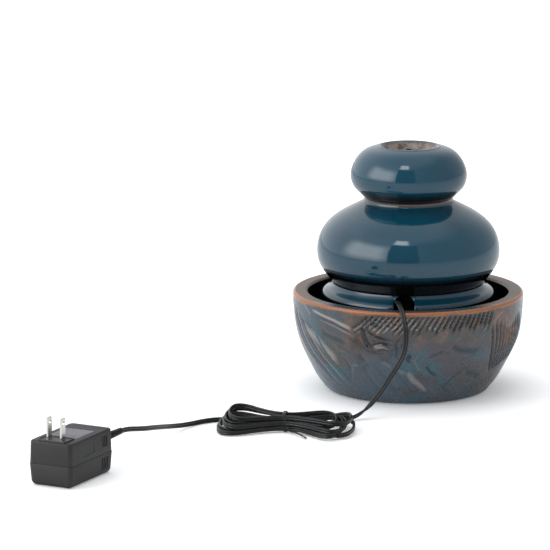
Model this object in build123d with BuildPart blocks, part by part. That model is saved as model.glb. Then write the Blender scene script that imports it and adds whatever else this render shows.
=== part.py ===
from build123d import *
from math import cos, pi, radians, sin, tan
import os

# Tabletop ceramic fountain with its submersible pump, mains lead and plug-in adapter, in millimetres.
# +Z is up, the origin is under the centre of the bowl, and the lead leaves over the rim at -Y.

# Bowl
bowl_radius = 102.5
bowl_height = 88.8
bowl_foot_radius = 71.0
bowl_base = 9.0            # thickness of the bowl's floor
bowl_wall = 9.5
rim_width = 13.5
pad_stand = 0.8            # how far the rubber pads lift the bowl
pad_radius = 6.0
pad_circle = 56.0
pad_recess = 1.2

# Stack of two stones on a skirt, one hollow casting that lifts out of the bowl
skirt_gap = 12.0           # water gap between the rim and the skirt's lip
skirt_foot_radius = 60.0
skirt_wall = 5.5
lip_drop = 4.5             # the lip lies this far below the rim
flange_rise = 12.0
stone_foot_radius = 67.5
lower_stone_radius = 81.2
lower_stone_rise = 29.6    # from the stone's foot to its widest place
neck_radius = 39.6
neck_rise = 75.2
upper_stone_radius = 51.6
upper_stone_rise = 21.4    # from the neck to the widest place
top_rise = 46.9            # from the neck to the basin's lip
basin_radius = 24.4
basin_depth = 6.6
stone_wall = 6.0
cord_slot_width = 18.0
drain_arch_radius = 8.0

# Pump
pump_width = 36.0
pump_height = 34.0
housing_length = 43.0
housing_wall = 2.0
cup_height = 6.0
cup_radius = 5.5
motor_face = -8.0          # front face of the motor housing
shaft_radius = 1.2
running_clearance = 0.05
magnet_radius = 6.6
magnet_length = 18.0
rotor_gap = 0.6            # water gap round the magnet
well_wall = 1.4
volute_radius = 14.5
volute_wall = 1.9
volute_length = 15.0
nozzle_radius = 5.0
nozzle_wall = 1.6
nozzle_length = 12.0
impeller_radius = 11.0
cover_wall = 1.8
cover_length = 28.0
slider_travel = 8.0
tube_wall = 2.0
grommet_wall = 2.4
gland_radius = 4.6
gland_length = 10.0
gland_y = -42.0
spout_depth = 9.0
spout_rim = 1.6
spout_bore = 3.0
bush_radius = 2.6
front_bush_length = 3.4
sleeve_wall = 1.3
hub_radius = 3.4
impeller_gap = 0.8         # between the motor's face and the impeller's disc
impeller_disc = 1.2
impeller_front = 1.6
impeller_blades = 6
inlet_holes = 6
inlet_hole_radius = 2.6
cup_stem = 1.5
cup_places = [(-11.0, -44.0), (11.0, -44.0), (-11.0, -16.0), (11.0, -16.0)]
coil_build = 2.2
coil_width = 15.0
yoke_length = 5.0
core_stack = 12.0
core_half_width = 14.4
leg_overlap = 0.6          # how far the legs wrap round the rotor's well
cover_gap = 0.2
grille_pitch = 4.4
grille_slots = 7
grille_slot = 2.0
grille_height = 24.0
slider_width = 14.0
slider_height = 14.0
slider_thickness = 1.4
slider_gap = 0.15
rail_width = 1.6

# Lead and its hank
cord_width = 4.4
hank_tie_x = -96.0
hank_tie_y = -175.3
tie_width = 5.0
tie_wire = 1.3
tie_core_width = 11.5
tie_core_height = 14.0
tie_end_reach_x = 19.0
tie_end_reach_y = -24.0
hank_back_height = 23.0
hank_back_y = -150.0
hank_slope = 0.2           # the hank's top falls towards the front

# Plug-in adapter, lying with its blades up
adapter_width = 40.5
adapter_length = 69.7
adapter_height = 37.6
adapter_turn = -22.9       # degrees about Z
adapter_x = -258.2
adapter_y = -352.2
parting_height = 18.6
shell_wall = 2.2
shell_step = 0.6
blade_spacing = 12.7
blade_width = 6.35
blade_thickness = 1.5
blade_reach = 17.5
blade_from_end = 10.9
blade_tail = 7.0
plate_thickness = 1.2
relief_offset = 12.0
relief_height = 28.0
relief_length = 28.0
relief_radius = 4.0
case_draft = 2.2           # the lower shell narrows by this towards its bottom
cavity_draft = 2.4
case_corner = 4.0
case_bottom_round = 5.0
case_top_round = 1.8
vent_slot = 1.4
vent_pitch = 3.0
vent_first = 13.0          # from the back face to the middle of the vents
vent_bottom = 7.0
lower_vents = 4
upper_vents = 3
upper_vent_height = 8.0
relief_grooves = 7
relief_pitch = 3.0
plate_width = 26.0
plate_length = 16.0
blade_hole_drop = 4.5
blade_hole_radius = 1.6
label_width = 27.0
label_length = 30.0
label_thickness = 0.15
core_room = 5.5            # between the core and the case's cavity, both sides together
core_length = 36.0
core_depth = 14.0
core_limb = 4.5
core_window = 6.0
core_y = 6.0               # middle of the core from the middle of the adapter
transformer_height = 18.4
winding_wall = 3.6
bobbin_wall = 0.8
split_shift = 4.0          # the bobbin's divider is off the middle, for the thicker primary

# Worked out from the sizes above
bowl_floor = pad_stand + bowl_base
rim_inner = bowl_radius - rim_width
lip_radius = rim_inner - skirt_gap
lip_height = bowl_height - lip_drop
foot_height = lip_height + flange_rise
lower_middle = foot_height + lower_stone_rise
neck_height = foot_height + neck_rise
upper_middle = neck_height + upper_stone_rise
stack_top = neck_height + top_rise
basin_floor = stack_top - basin_depth
pump_axis = bowl_floor + cup_height + pump_height / 2
housing_rear = motor_face - housing_length
well_radius = magnet_radius + rotor_gap
well_outer = well_radius + well_wall
magnet_front = motor_face - 2.0
magnet_rear = magnet_front - magnet_length
well_floor = magnet_rear - 3.5
rear_bush_depth = 2.5
well_end = well_floor - rear_bush_depth - 1.5
volute_front = motor_face + volute_length
nozzle_base = pump_axis + volute_radius
nozzle_top = nozzle_base + nozzle_length
tube_inner = nozzle_radius + running_clearance
tube_outer = tube_inner + tube_wall
tube_base = nozzle_base + 1.5
grommet_radius = tube_outer + grommet_wall
grommet_flange = 1.5
tube_top = basin_floor + grommet_flange
slot_shoulder = foot_height - 5.2
ledge_drop = foot_height - lip_height
rotor_bore = shaft_radius + running_clearance

os.makedirs("parts", exist_ok=True)
upright = (Align.CENTER, Align.CENTER, Align.MIN)    # standing on the working plane


def save(piece, name):
    """Label a finished piece and write it as its own STEP file."""
    piece.part.label = name
    export_step(piece.part, f"parts/{name}.step")


# ---------------------------------------------------------------- bowl and its pads
belly_height = bowl_height * 0.36
with BuildPart() as bowl:
    with BuildSketch(Plane.XZ):
        with BuildLine():
            Spline(
                (bowl_foot_radius, pad_stand),
                ((bowl_foot_radius + bowl_radius) / 2, belly_height * 0.72),
                (bowl_radius - 3.6, bowl_height * 0.59),
                (bowl_radius, bowl_height),
                tangents=[(1, 0.8), (0.04, 1)],
            )
            Line((bowl_radius, bowl_height), (rim_inner, bowl_height))
            Spline(
                (rim_inner, bowl_height),
                (bowl_radius - 3.6 - bowl_wall, bowl_height * 0.56),
                (bowl_foot_radius + 1.5, bowl_floor + 7),
                (bowl_foot_radius - 6, bowl_floor),
                tangents=[(0, -1), (-1, 0)],
            )
            Polyline((bowl_foot_radius - 6, bowl_floor), (0, bowl_floor), (0, pad_stand),
                     (bowl_foot_radius, pad_stand))
        make_face()
    revolve(axis=Axis.Z)
    rim_edges = bowl.edges().filter_by(GeomType.CIRCLE).group_by(Axis.Z)[-1]
    fillet(rim_edges, radius=2.6)
    with Locations((0, 0, pad_stand)):
        with PolarLocations(pad_circle, 4, start_angle=45):
            Cylinder(pad_radius, pad_recess, align=upright, mode=Mode.SUBTRACT)
save(bowl, "bowl")

with BuildPart() as foot_pads:
    with PolarLocations(pad_circle, 4, start_angle=45):
        Cylinder(pad_radius, pad_stand + pad_recess, align=upright)
    fillet(foot_pads.edges().group_by(Axis.Z)[0], radius=0.4)
save(foot_pads, "foot_pads")

# ---------------------------------------------------------------- stack of stones
with BuildPart() as stone_stack:
    with BuildSketch(Plane.XZ):
        with BuildLine():
            Line((skirt_foot_radius, bowl_floor), (lip_radius, lip_height))
            # the ledge under the stone: rolled at its lip, shallow, then steep where the stone stands on it
            Spline(
                (lip_radius, lip_height),
                (lip_radius - 1.2, lip_height + ledge_drop * 0.37),
                (stone_foot_radius + 2.4, foot_height - ledge_drop * 0.3),
                (stone_foot_radius, foot_height),
                tangents=[(0.1, 1), (-0.35, 1)],
            )
            Spline(
                (stone_foot_radius, foot_height),
                (lower_stone_radius - 2.6, foot_height + lower_stone_rise * 0.55),
                (lower_stone_radius, lower_middle),
                (lower_stone_radius - 6.2, lower_middle + 19.5),
                (neck_radius + 17, neck_height - 11),
                (neck_radius + 2.4, neck_height - 3.4),
                tangents=[(0.55, 1), (-1, 0.55)],
            )
            ThreePointArc((neck_radius + 2.4, neck_height - 3.4), (neck_radius, neck_height),
                          (neck_radius + 2.2, neck_height + 3.4))
            Spline(
                (neck_radius + 2.2, neck_height + 3.4),
                (upper_stone_radius - 3.1, upper_middle - 11),
                (upper_stone_radius, upper_middle),
                (upper_stone_radius - 2.9, upper_middle + 10.5),
                (basin_radius + 15, stack_top - 4.3),
                (basin_radius + 4, stack_top - 0.5),
                tangents=[(1, 1.1), (-1, 0.22)],
            )
            ThreePointArc((basin_radius + 4, stack_top - 0.5), (basin_radius + 1.4, stack_top),
                          (basin_radius, stack_top - 1))
            Polyline((basin_radius, stack_top - 1), (basin_radius - 4, basin_floor), (0, basin_floor),
                     (0, bowl_floor), (skirt_foot_radius, bowl_floor))
        make_face()
    revolve(axis=Axis.Z)
    with BuildSketch(Plane.XZ):
        with BuildLine():
            Line((skirt_foot_radius - skirt_wall, bowl_floor), (lip_radius - skirt_wall - 1, lip_height - 3))
            Line((lip_radius - skirt_wall - 1, lip_height - 3),
                 (stone_foot_radius - stone_wall, foot_height))
            Spline(
                (stone_foot_radius - stone_wall, foot_height),
                (lower_stone_radius - stone_wall, lower_middle),
                (neck_radius + 14, neck_height - 17),
                (neck_radius - stone_wall, neck_height),
                tangents=[(0.5, 1), (-0.5, 1)],
            )
            Spline(
                (neck_radius - stone_wall, neck_height),
                (upper_stone_radius - stone_wall, upper_middle),
                (basin_radius + 6, basin_floor - stone_wall + 2),
                (basin_radius - 4, basin_floor - stone_wall),
                tangents=[(0.6, 1), (-1, 0)],
            )
            Polyline((basin_radius - 4, basin_floor - stone_wall), (0, basin_floor - stone_wall),
                     (0, bowl_floor), (skirt_foot_radius - skirt_wall, bowl_floor))
        make_face()
    revolve(axis=Axis.Z, mode=Mode.SUBTRACT)
    # slot for the lead, open at the bottom, at the back of the skirt
    with BuildSketch(Plane.XZ.offset(skirt_foot_radius / 2)):
        with BuildLine():
            Line((-cord_slot_width / 2, 0), (-cord_slot_width / 2, slot_shoulder))
            ThreePointArc((-cord_slot_width / 2, slot_shoulder), (0, foot_height + 0.3),
                          (cord_slot_width / 2, slot_shoulder))
            Polyline((cord_slot_width / 2, slot_shoulder), (cord_slot_width / 2, 0),
                     (-cord_slot_width / 2, 0))
        make_face()
    extrude(amount=bowl_radius, mode=Mode.SUBTRACT)
    # arches in the skirt's foot that let the water back to the pump
    for drain_plane in (Plane.XZ.offset(-bowl_radius), Plane.YZ.offset(-bowl_radius)):
        with BuildSketch(drain_plane):
            with Locations((0, bowl_floor)):
                Circle(drain_arch_radius)
        extrude(amount=bowl_radius if drain_plane.z_dir.Y else 2 * bowl_radius, mode=Mode.SUBTRACT)
    # hole in the basin's floor for the tube's grommet
    with Locations((0, 0, basin_floor)):
        Hole(grommet_radius, depth=2 * stone_wall)
save(stone_stack, "stone_stack")

with BuildPart() as outlet_grommet:
    with BuildSketch(Plane.XY.offset(basin_floor - stone_wall)):
        Circle(grommet_radius)
        Circle(tube_outer, mode=Mode.SUBTRACT)
    extrude(amount=stone_wall)
    with BuildSketch(Plane.XY.offset(basin_floor)):
        Circle(grommet_radius + 2)
        Circle(tube_outer, mode=Mode.SUBTRACT)
    extrude(amount=grommet_flange)
    fillet(outlet_grommet.edges().group_by(Axis.Z)[-1].sort_by(SortBy.RADIUS)[-1], radius=0.7)
save(outlet_grommet, "outlet_grommet")

with BuildPart() as riser_tube:
    with BuildSketch(Plane.XY.offset(tube_base)):
        Circle(tube_outer)
        Circle(tube_inner, mode=Mode.SUBTRACT)
    extrude(amount=tube_top - tube_base)
save(riser_tube, "riser_tube")

with BuildPart() as outlet_spout:
    with BuildSketch(Plane.XY.offset(tube_top - spout_depth)):
        Circle(tube_inner)
    extrude(amount=spout_depth)
    with BuildSketch(Plane.XY.offset(tube_top)):
        Circle(tube_outer)
    extrude(amount=spout_rim)
    fillet(outlet_spout.edges().group_by(Axis.Z)[-1], radius=0.8)
    with Locations((0, 0, tube_top + spout_rim)):
        Hole(spout_bore)
save(outlet_spout, "outlet_spout")

# ---------------------------------------------------------------- pump: motor
housing_top = pump_axis + pump_height / 2


def along_shaft(start):
    """Plane across the shaft at Y = start, whose extrusions run towards +Y."""
    return Plane(origin=(0, start, pump_axis), x_dir=(-1, 0, 0), z_dir=(0, 1, 0))


with BuildPart() as pump_housing:
    with BuildSketch(along_shaft(housing_rear)):
        RectangleRounded(pump_width, pump_height, 4)
    extrude(amount=housing_length)
    with BuildSketch(along_shaft(housing_rear)):
        RectangleRounded(pump_width - 2 * housing_wall, pump_height - 2 * housing_wall, 3)
    extrude(amount=housing_length - housing_wall, mode=Mode.SUBTRACT)
    with BuildSketch(along_shaft(well_end)):
        Circle(well_outer)
    extrude(amount=motor_face - well_end)
    with BuildSketch(along_shaft(well_floor)):
        Circle(well_radius)
    extrude(amount=motor_face - well_floor, mode=Mode.SUBTRACT)
    with BuildSketch(along_shaft(well_floor - rear_bush_depth)):
        Circle(bush_radius)
    extrude(amount=rear_bush_depth, mode=Mode.SUBTRACT)
    with Locations((0, 0, pump_axis - pump_height / 2)):
        with Locations(*cup_places):
            Cylinder(cup_stem, housing_wall, align=upright, mode=Mode.SUBTRACT)
save(pump_housing, "pump_housing")

with BuildPart() as suction_cups:
    for cup_x, cup_y in cup_places:
        with BuildSketch(Plane.XZ.offset(-cup_y)):
            with BuildLine():
                Polyline((cup_x, bowl_floor + 1.5), (cup_x + cup_radius - 1.2, bowl_floor),
                         (cup_x + cup_radius, bowl_floor), (cup_x + 2.6, bowl_floor + 3.2),
                         (cup_x + 2.6, bowl_floor + cup_height), (cup_x + cup_stem, bowl_floor + cup_height),
                         (cup_x + cup_stem, bowl_floor + cup_height + housing_wall),
                         (cup_x, bowl_floor + cup_height + housing_wall), (cup_x, bowl_floor + 1.5))
            make_face()
        revolve(axis=Axis((cup_x, cup_y, 0), (0, 0, 1)))
save(suction_cups, "suction_cups")

core_front = motor_face - housing_wall - 0.5
yoke_front = well_end - coil_build
yoke_rear = yoke_front - yoke_length
with BuildPart() as stator_core:
    with BuildSketch(along_shaft(yoke_rear)):
        Rectangle(2 * core_half_width, core_stack)
    extrude(amount=core_front - yoke_rear)
    with BuildSketch(along_shaft(yoke_front)):
        Rectangle(2 * (well_outer - leg_overlap), core_stack)
    extrude(amount=core_front - yoke_front, mode=Mode.SUBTRACT)
    with BuildSketch(along_shaft(well_end)):
        Circle(well_outer)
    extrude(amount=core_front - well_end, mode=Mode.SUBTRACT)
save(stator_core, "stator_core")

with BuildPart() as stator_coil:
    with BuildSketch(along_shaft(yoke_rear - coil_build)):
        RectangleRounded(coil_width, core_stack + 2 * coil_build, 1.5)
    extrude(amount=yoke_length + 2 * coil_build)
    with BuildSketch(along_shaft(yoke_rear)):
        Rectangle(coil_width, core_stack)
    extrude(amount=yoke_length, mode=Mode.SUBTRACT)
save(stator_coil, "stator_coil")

with BuildPart() as potting_resin:
    with BuildSketch(along_shaft(housing_rear + 1)):
        RectangleRounded(pump_width - 2 * housing_wall, pump_height - 2 * housing_wall, 3)
    extrude(amount=motor_face - housing_wall - housing_rear - 1)
    with BuildSketch(along_shaft(well_end)):
        Circle(well_outer)
    extrude(amount=motor_face - well_end, mode=Mode.SUBTRACT)
    add(stator_core.part, mode=Mode.SUBTRACT)
    add(stator_coil.part, mode=Mode.SUBTRACT)
save(potting_resin, "potting_resin")

with BuildPart() as pump_gland:
    with BuildSketch(Plane.XY.offset(housing_top)):
        with Locations((0, gland_y)):
            Circle(gland_radius)
    extrude(amount=2)
    with BuildSketch(Plane.XY.offset(housing_top + 2)):
        with Locations((0, gland_y)):
            Circle(gland_radius - 0.8)
    extrude(amount=gland_length - 2, taper=5)
save(pump_gland, "pump_gland")

# ---------------------------------------------------------------- pump: rotor
with BuildPart() as rotor_shaft:
    with BuildSketch(along_shaft(well_floor - rear_bush_depth + 1)):
        Circle(shaft_radius)
    extrude(amount=volute_front - 1 - (well_floor - rear_bush_depth + 1))
save(rotor_shaft, "rotor_shaft")

with BuildPart() as rear_bush:
    with BuildSketch(along_shaft(well_floor - rear_bush_depth)):
        Circle(bush_radius)
    extrude(amount=rear_bush_depth + 1)
    with BuildSketch(along_shaft(well_floor - rear_bush_depth + 1)):
        Circle(shaft_radius)
    extrude(amount=rear_bush_depth, mode=Mode.SUBTRACT)
save(rear_bush, "rear_bush")

with BuildPart() as front_bush:
    with BuildSketch(along_shaft(volute_front - front_bush_length)):
        Circle(bush_radius)
    extrude(amount=front_bush_length)
    with BuildSketch(along_shaft(volute_front - front_bush_length)):
        Circle(shaft_radius)
    extrude(amount=front_bush_length - 1, mode=Mode.SUBTRACT)
save(front_bush, "front_bush")

with BuildPart() as rotor_magnet:
    with BuildSketch(along_shaft(magnet_rear)):
        Circle(magnet_radius)
        Circle(rotor_bore + sleeve_wall, mode=Mode.SUBTRACT)
    extrude(amount=magnet_length)
save(rotor_magnet, "rotor_magnet")

blade_length = impeller_radius - hub_radius
with BuildPart() as impeller:
    with BuildSketch(along_shaft(magnet_rear)):
        Circle(rotor_bore + sleeve_wall)
    extrude(amount=magnet_length)
    with BuildSketch(along_shaft(magnet_front)):
        Circle(hub_radius)
    extrude(amount=impeller_front - magnet_front)
    with BuildSketch(along_shaft(motor_face + impeller_gap)):
        Circle(impeller_radius)
    extrude(amount=impeller_disc)
    with BuildSketch(along_shaft(motor_face + impeller_gap + impeller_disc)):
        with PolarLocations(hub_radius + blade_length / 2 - 0.5, impeller_blades):
            Rectangle(blade_length, 1.2)
    extrude(amount=impeller_front - motor_face - impeller_gap - impeller_disc)
    with BuildSketch(along_shaft(magnet_rear - 1)):
        Circle(rotor_bore)
    extrude(amount=impeller_front - magnet_rear + 2, mode=Mode.SUBTRACT)
save(impeller, "impeller")

# ---------------------------------------------------------------- pump: volute, intake cover and slider
with BuildPart() as volute_cover:
    with BuildSketch(along_shaft(motor_face)):
        Circle(volute_radius)
    extrude(amount=volute_length)
    with BuildSketch(Plane.XY.offset(pump_axis)):
        Circle(nozzle_radius)
    extrude(amount=nozzle_top - pump_axis)
    with BuildSketch(along_shaft(motor_face)):
        Circle(volute_radius - volute_wall)
    extrude(amount=volute_length - volute_wall, mode=Mode.SUBTRACT)
    with BuildSketch(along_shaft(volute_front - front_bush_length)):
        Circle(bush_radius + 1.4)
    extrude(amount=front_bush_length)
    with BuildSketch(along_shaft(volute_front - front_bush_length)):
        Circle(bush_radius)
    extrude(amount=front_bush_length, mode=Mode.SUBTRACT)
    with BuildSketch(Plane.XY.offset(pump_axis + bush_radius + 2)):
        Circle(nozzle_radius - nozzle_wall)
    extrude(amount=nozzle_top - pump_axis - bush_radius, mode=Mode.SUBTRACT)
    with BuildSketch(along_shaft(volute_front - volute_wall)):
        with PolarLocations((bush_radius + 1.4 + volute_radius - volute_wall) / 2, inlet_holes):
            Circle(inlet_hole_radius)
    extrude(amount=volute_wall, mode=Mode.SUBTRACT)
save(volute_cover, "volute_cover")

cover_start = motor_face + cover_gap
cover_front = cover_start + cover_length
inner_width = pump_width - 2 * cover_wall
inner_height = pump_height - 2 * cover_wall
nozzle_slot = 2 * (tube_outer + cover_gap + 0.5)
with BuildPart() as intake_cover:
    with BuildSketch(along_shaft(cover_start)):
        RectangleRounded(pump_width, pump_height, 4)
    extrude(amount=cover_length)
    fillet(intake_cover.edges().group_by(Axis.Y)[-1], radius=1.2)
    with BuildSketch(along_shaft(cover_start)):
        RectangleRounded(inner_width, inner_height, 2.5)
    extrude(amount=cover_length - cover_wall, mode=Mode.SUBTRACT)
    # slot in the top that lets the cover slide off past the nozzle and the tube on it
    with BuildSketch(Plane.XY.offset(pump_axis)):
        with Locations((0, cover_start)):
            Rectangle(nozzle_slot, nozzle_slot / 2 - cover_start, align=(Align.CENTER, Align.MIN))
    extrude(amount=pump_height, mode=Mode.SUBTRACT)
    # intake grille in the front
    with BuildSketch(along_shaft(cover_front - cover_wall)):
        with GridLocations(grille_pitch, 1, grille_slots, 1):
            SlotOverall(grille_height, grille_slot, rotation=90)
    extrude(amount=cover_wall, mode=Mode.SUBTRACT)
    # rails that hold the flow slider
    with BuildSketch(along_shaft(cover_front)):
        with GridLocations(1, slider_height + 2 * slider_gap + rail_width, 1, 2):
            Rectangle(pump_width - 8, rail_width)
    extrude(amount=slider_thickness + slider_gap)
    with BuildSketch(along_shaft(cover_front + slider_thickness + slider_gap)):
        with GridLocations(1, slider_height + 2 * slider_gap + rail_width - 1, 1, 2):
            Rectangle(pump_width - 8, rail_width + 1)
    extrude(amount=1)
save(intake_cover, "intake_cover")

with BuildPart() as flow_slider:
    with BuildSketch(along_shaft(cover_front + slider_gap / 2)):
        with Locations((slider_travel / 2, 0)):
            Rectangle(slider_width, slider_height)
    extrude(amount=slider_thickness)
    with BuildSketch(along_shaft(cover_front + slider_gap / 2 + slider_thickness)):
        with Locations((slider_travel / 2, 0)):
            Rectangle(2, slider_height - 4)
    extrude(amount=2.2)
save(flow_slider, "flow_slider")

# ---------------------------------------------------------------- lead
def corner_radii(points):
    """Arc radius for each inner corner of a lead's route: 0.45 of the shorter run over tan(turn / 2)."""
    corners = [Vector(*point) for point in points]
    radii = []
    for before, corner, after in zip(corners, corners[1:], corners[2:]):
        turn = radians((corner - before).get_angle(after - corner))
        shorter = min((corner - before).length, (after - corner).length)
        radii.append(0.45 * shorter / tan(turn / 2))
    return radii


def save_lead(points, name):
    """Round tube along a lead's route; prints its radii, and its volume beside section times length."""
    radii = corner_radii(points)
    with BuildPart() as tube:
        with BuildLine() as path:
            FilletPolyline(*points, radius=radii)
        with BuildSketch(Plane(origin=points[0], z_dir=Vector(*points[1]) - Vector(*points[0]))):
            Circle(cord_width / 2)
        sweep()
    length = path.wire().length
    print(name, "radii", [round(radius, 1) for radius in radii])
    print(name, "length", round(length, 1), "volume", round(tube.part.volume), "section times length",
          round(length * pi * (cord_width / 2) ** 2))
    save(tube, name)


pump_lead_points = [
    (0, gland_y, housing_top + gland_length),
    (-0.3, -42.4, 70),
    (-2, -46.5, 81),
    (-4.4, -56, 88),
    (-6, -69, 91),
    (-6, -83, 95.2),
    (-3.6, -97, 96.2),
    (0.2, -108.5, 92),
    (3, -114, 82),
    (4.4, -115.5, 70),
    (3, -116.5, 58),
    (-1.6, -118.5, 47.5),
    (-8, -120.8, 38),
    (-14.5, -122.5, 27.5),
    (-21.5, -124, 17.5),
    (-29, -126.5, 9),
    (-37, -131.5, 3.6),
    (-44.5, -139.5, 2.4),
    (-52, -151, 2.5),
]
save_lead(pump_lead_points, "cord_pump_lead")

adapter_plane = Plane(
    origin=(adapter_x, adapter_y, 0),
    x_dir=(cos(radians(adapter_turn)), sin(radians(adapter_turn)), 0),
    z_dir=(0, 0, 1),
)
back_face = adapter_length / 2 - shell_step
relief_end = adapter_plane.from_local_coords(Vector(relief_offset, back_face + relief_length, relief_height))

adapter_lead_points = [
    (relief_end.X, relief_end.Y, relief_end.Z),
    (-217.6, -287, 27.2),
    (-211.6, -273.5, 24.5),
    (-206, -259, 20),
    (-202, -243, 15.6),
    (-198.3, -226, 11.2),
    (-194.6, -209, 7.4),
    (-190.2, -193, 4.6),
    (-184.4, -178.5, 2.8),
    (-177, -166, 2.4),
    (-168, -155.8, 2.4),
    (-157.5, -149.4, 2.4),
    (-145, -148.6, 2.5),
]
save_lead(adapter_lead_points, "cord_adapter_lead")

# hank: the outer shape of the pinched coil, low in front and tall at the back
tie_plane = Plane(origin=(hank_tie_x, hank_tie_y, 0))
core_bottom = tie_wire
with BuildPart() as cord_hank:
    with BuildSketch():
        with BuildLine():
            Spline(
                (hank_tie_x, hank_tie_y + tie_core_width / 2),
                (-118, -158),
                (-140, -148.5),
                (-156, -166),
                (-148, -195),
                (-127, -203.5),
                (-108, -190),
                (hank_tie_x, hank_tie_y - tie_core_width / 2),
                (-80, -193),
                (-60, -216),
                (-40, -218),
                (-33, -180),
                (-47, -149),
                (-76, -158),
                periodic=True,
            )
        make_face()
    extrude(amount=hank_back_height)
    slope = Plane(origin=(0, hank_back_y, hank_back_height), z_dir=(0, -hank_slope, 1))
    split(bisect_by=slope, keep=Keep.BOTTOM)
    with BuildSketch(tie_plane):
        Rectangle(tie_width, hank_back_height * 3)
    extrude(amount=hank_back_height, mode=Mode.SUBTRACT)
    with BuildSketch(tie_plane.offset(core_bottom)):
        Rectangle(tie_width, tie_core_width)
    extrude(amount=tie_core_height)
save(cord_hank, "cord_hank")

tie_front = hank_tie_y - tie_core_width / 2
tie_end_start = Vector(hank_tie_x + tie_width / 2 - tie_wire, tie_front - tie_wire / 2, 3)
tie_end_way = Vector(tie_end_reach_x, tie_end_reach_y, -2.2)
with BuildPart() as cord_tie:
    with BuildSketch(tie_plane):
        Rectangle(tie_width, tie_core_width + 2 * tie_wire)
    extrude(amount=tie_core_height + 2 * tie_wire)
    with BuildSketch(tie_plane.offset(core_bottom)):
        Rectangle(tie_width, tie_core_width)
    extrude(amount=tie_core_height, mode=Mode.SUBTRACT)
    with BuildSketch(Plane(origin=tie_end_start, z_dir=tie_end_way)):
        Circle(tie_wire / 2)
    extrude(amount=tie_end_way.length)
save(cord_tie, "cord_tie")

# ---------------------------------------------------------------- adapter: case
top_face = adapter_height
blade_line = -adapter_length / 2 + blade_from_end
cavity_width = adapter_width - 2 * shell_wall - shell_step
cavity_length = adapter_length - 2 * shell_wall - shell_step
with BuildPart() as adapter_lower_case:
    with BuildSketch(adapter_plane):
        RectangleRounded(adapter_width - 2 * case_draft, adapter_length - 2 * case_draft,
                         case_bottom_round + 0.8)
    with BuildSketch(adapter_plane.offset(parting_height)):
        RectangleRounded(adapter_width, adapter_length, case_corner)
    loft()
    fillet(adapter_lower_case.edges().group_by(Axis.Z)[0], radius=case_bottom_round)
    with BuildSketch(adapter_plane.offset(shell_wall)):
        RectangleRounded(cavity_width - 2 * cavity_draft, cavity_length - 2 * cavity_draft, case_corner - 1)
    with BuildSketch(adapter_plane.offset(parting_height)):
        RectangleRounded(cavity_width, cavity_length, case_corner - 1)
    loft(mode=Mode.SUBTRACT)
    with BuildSketch(adapter_plane.offset(vent_bottom)):
        with Locations((adapter_width / 2, back_face - vent_first)):
            with GridLocations(1, vent_pitch, 1, lower_vents):
                Rectangle(4 * shell_wall, vent_slot)
    extrude(amount=parting_height - vent_bottom - 1, mode=Mode.SUBTRACT)
save(adapter_lower_case, "adapter_lower_case")

upper_width = adapter_width - 2 * shell_step
upper_length = adapter_length - 2 * shell_step
with BuildPart() as adapter_upper_case:
    with BuildSketch(adapter_plane.offset(parting_height)):
        RectangleRounded(upper_width, upper_length, case_corner - shell_step)
    extrude(amount=top_face - parting_height)
    fillet(adapter_upper_case.edges().group_by(Axis.Z)[-1], radius=case_top_round)
    with BuildSketch(adapter_plane.offset(parting_height)):
        RectangleRounded(cavity_width, cavity_length, case_corner - 1)
    extrude(amount=top_face - parting_height - shell_wall, mode=Mode.SUBTRACT)
    with BuildSketch(adapter_plane.offset(top_face - shell_wall)):
        with Locations((0, blade_line)):
            with GridLocations(blade_spacing, 1, 2, 1):
                Rectangle(blade_thickness, blade_width)
    extrude(amount=shell_wall, mode=Mode.SUBTRACT)
    with BuildSketch(adapter_plane.offset(parting_height + 1)):
        with Locations((adapter_width / 2, back_face - vent_first - vent_pitch / 2)):
            with GridLocations(1, vent_pitch, 1, upper_vents):
                Rectangle(4 * shell_wall, vent_slot)
    extrude(amount=upper_vent_height, mode=Mode.SUBTRACT)
    relief_root = Vector(relief_offset, back_face - shell_wall - 1, relief_height)
    relief_base = Plane(
        origin=adapter_plane.from_local_coords(relief_root),
        x_dir=adapter_plane.x_dir,
        z_dir=adapter_plane.y_dir,
    )
    with BuildSketch(relief_base):
        Circle(relief_radius)
    extrude(amount=2 * shell_wall, mode=Mode.SUBTRACT)
save(adapter_upper_case, "adapter_upper_case")

relief_face = Plane(
    origin=adapter_plane.from_local_coords(Vector(relief_offset, back_face, relief_height)),
    x_dir=adapter_plane.x_dir,
    z_dir=adapter_plane.y_dir,
)
with BuildPart() as adapter_strain_relief:
    with BuildSketch(relief_face.offset(-shell_wall)):
        Circle(relief_radius)
    extrude(amount=shell_wall)
    with BuildSketch(relief_face):
        Circle(relief_radius + 1)
    extrude(amount=2)
    with BuildSketch(relief_face.offset(2)):
        Circle(relief_radius - 0.6)
    extrude(amount=relief_length - 2, taper=1.6)
    for groove in range(relief_grooves):
        with BuildSketch(relief_face.offset(4 + groove * relief_pitch)):
            Circle(relief_radius)
            Circle(relief_radius - 1.9, mode=Mode.SUBTRACT)
        extrude(amount=relief_pitch / 2, mode=Mode.SUBTRACT)
save(adapter_strain_relief, "adapter_strain_relief")

with BuildPart() as blade_plate:
    with BuildSketch(adapter_plane.offset(top_face)):
        with Locations((0, blade_line)):
            RectangleRounded(plate_width, plate_length, 1.5)
            with GridLocations(blade_spacing, 1, 2, 1):
                Rectangle(blade_thickness, blade_width, mode=Mode.SUBTRACT)
    extrude(amount=plate_thickness)
save(blade_plate, "blade_plate")

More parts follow.
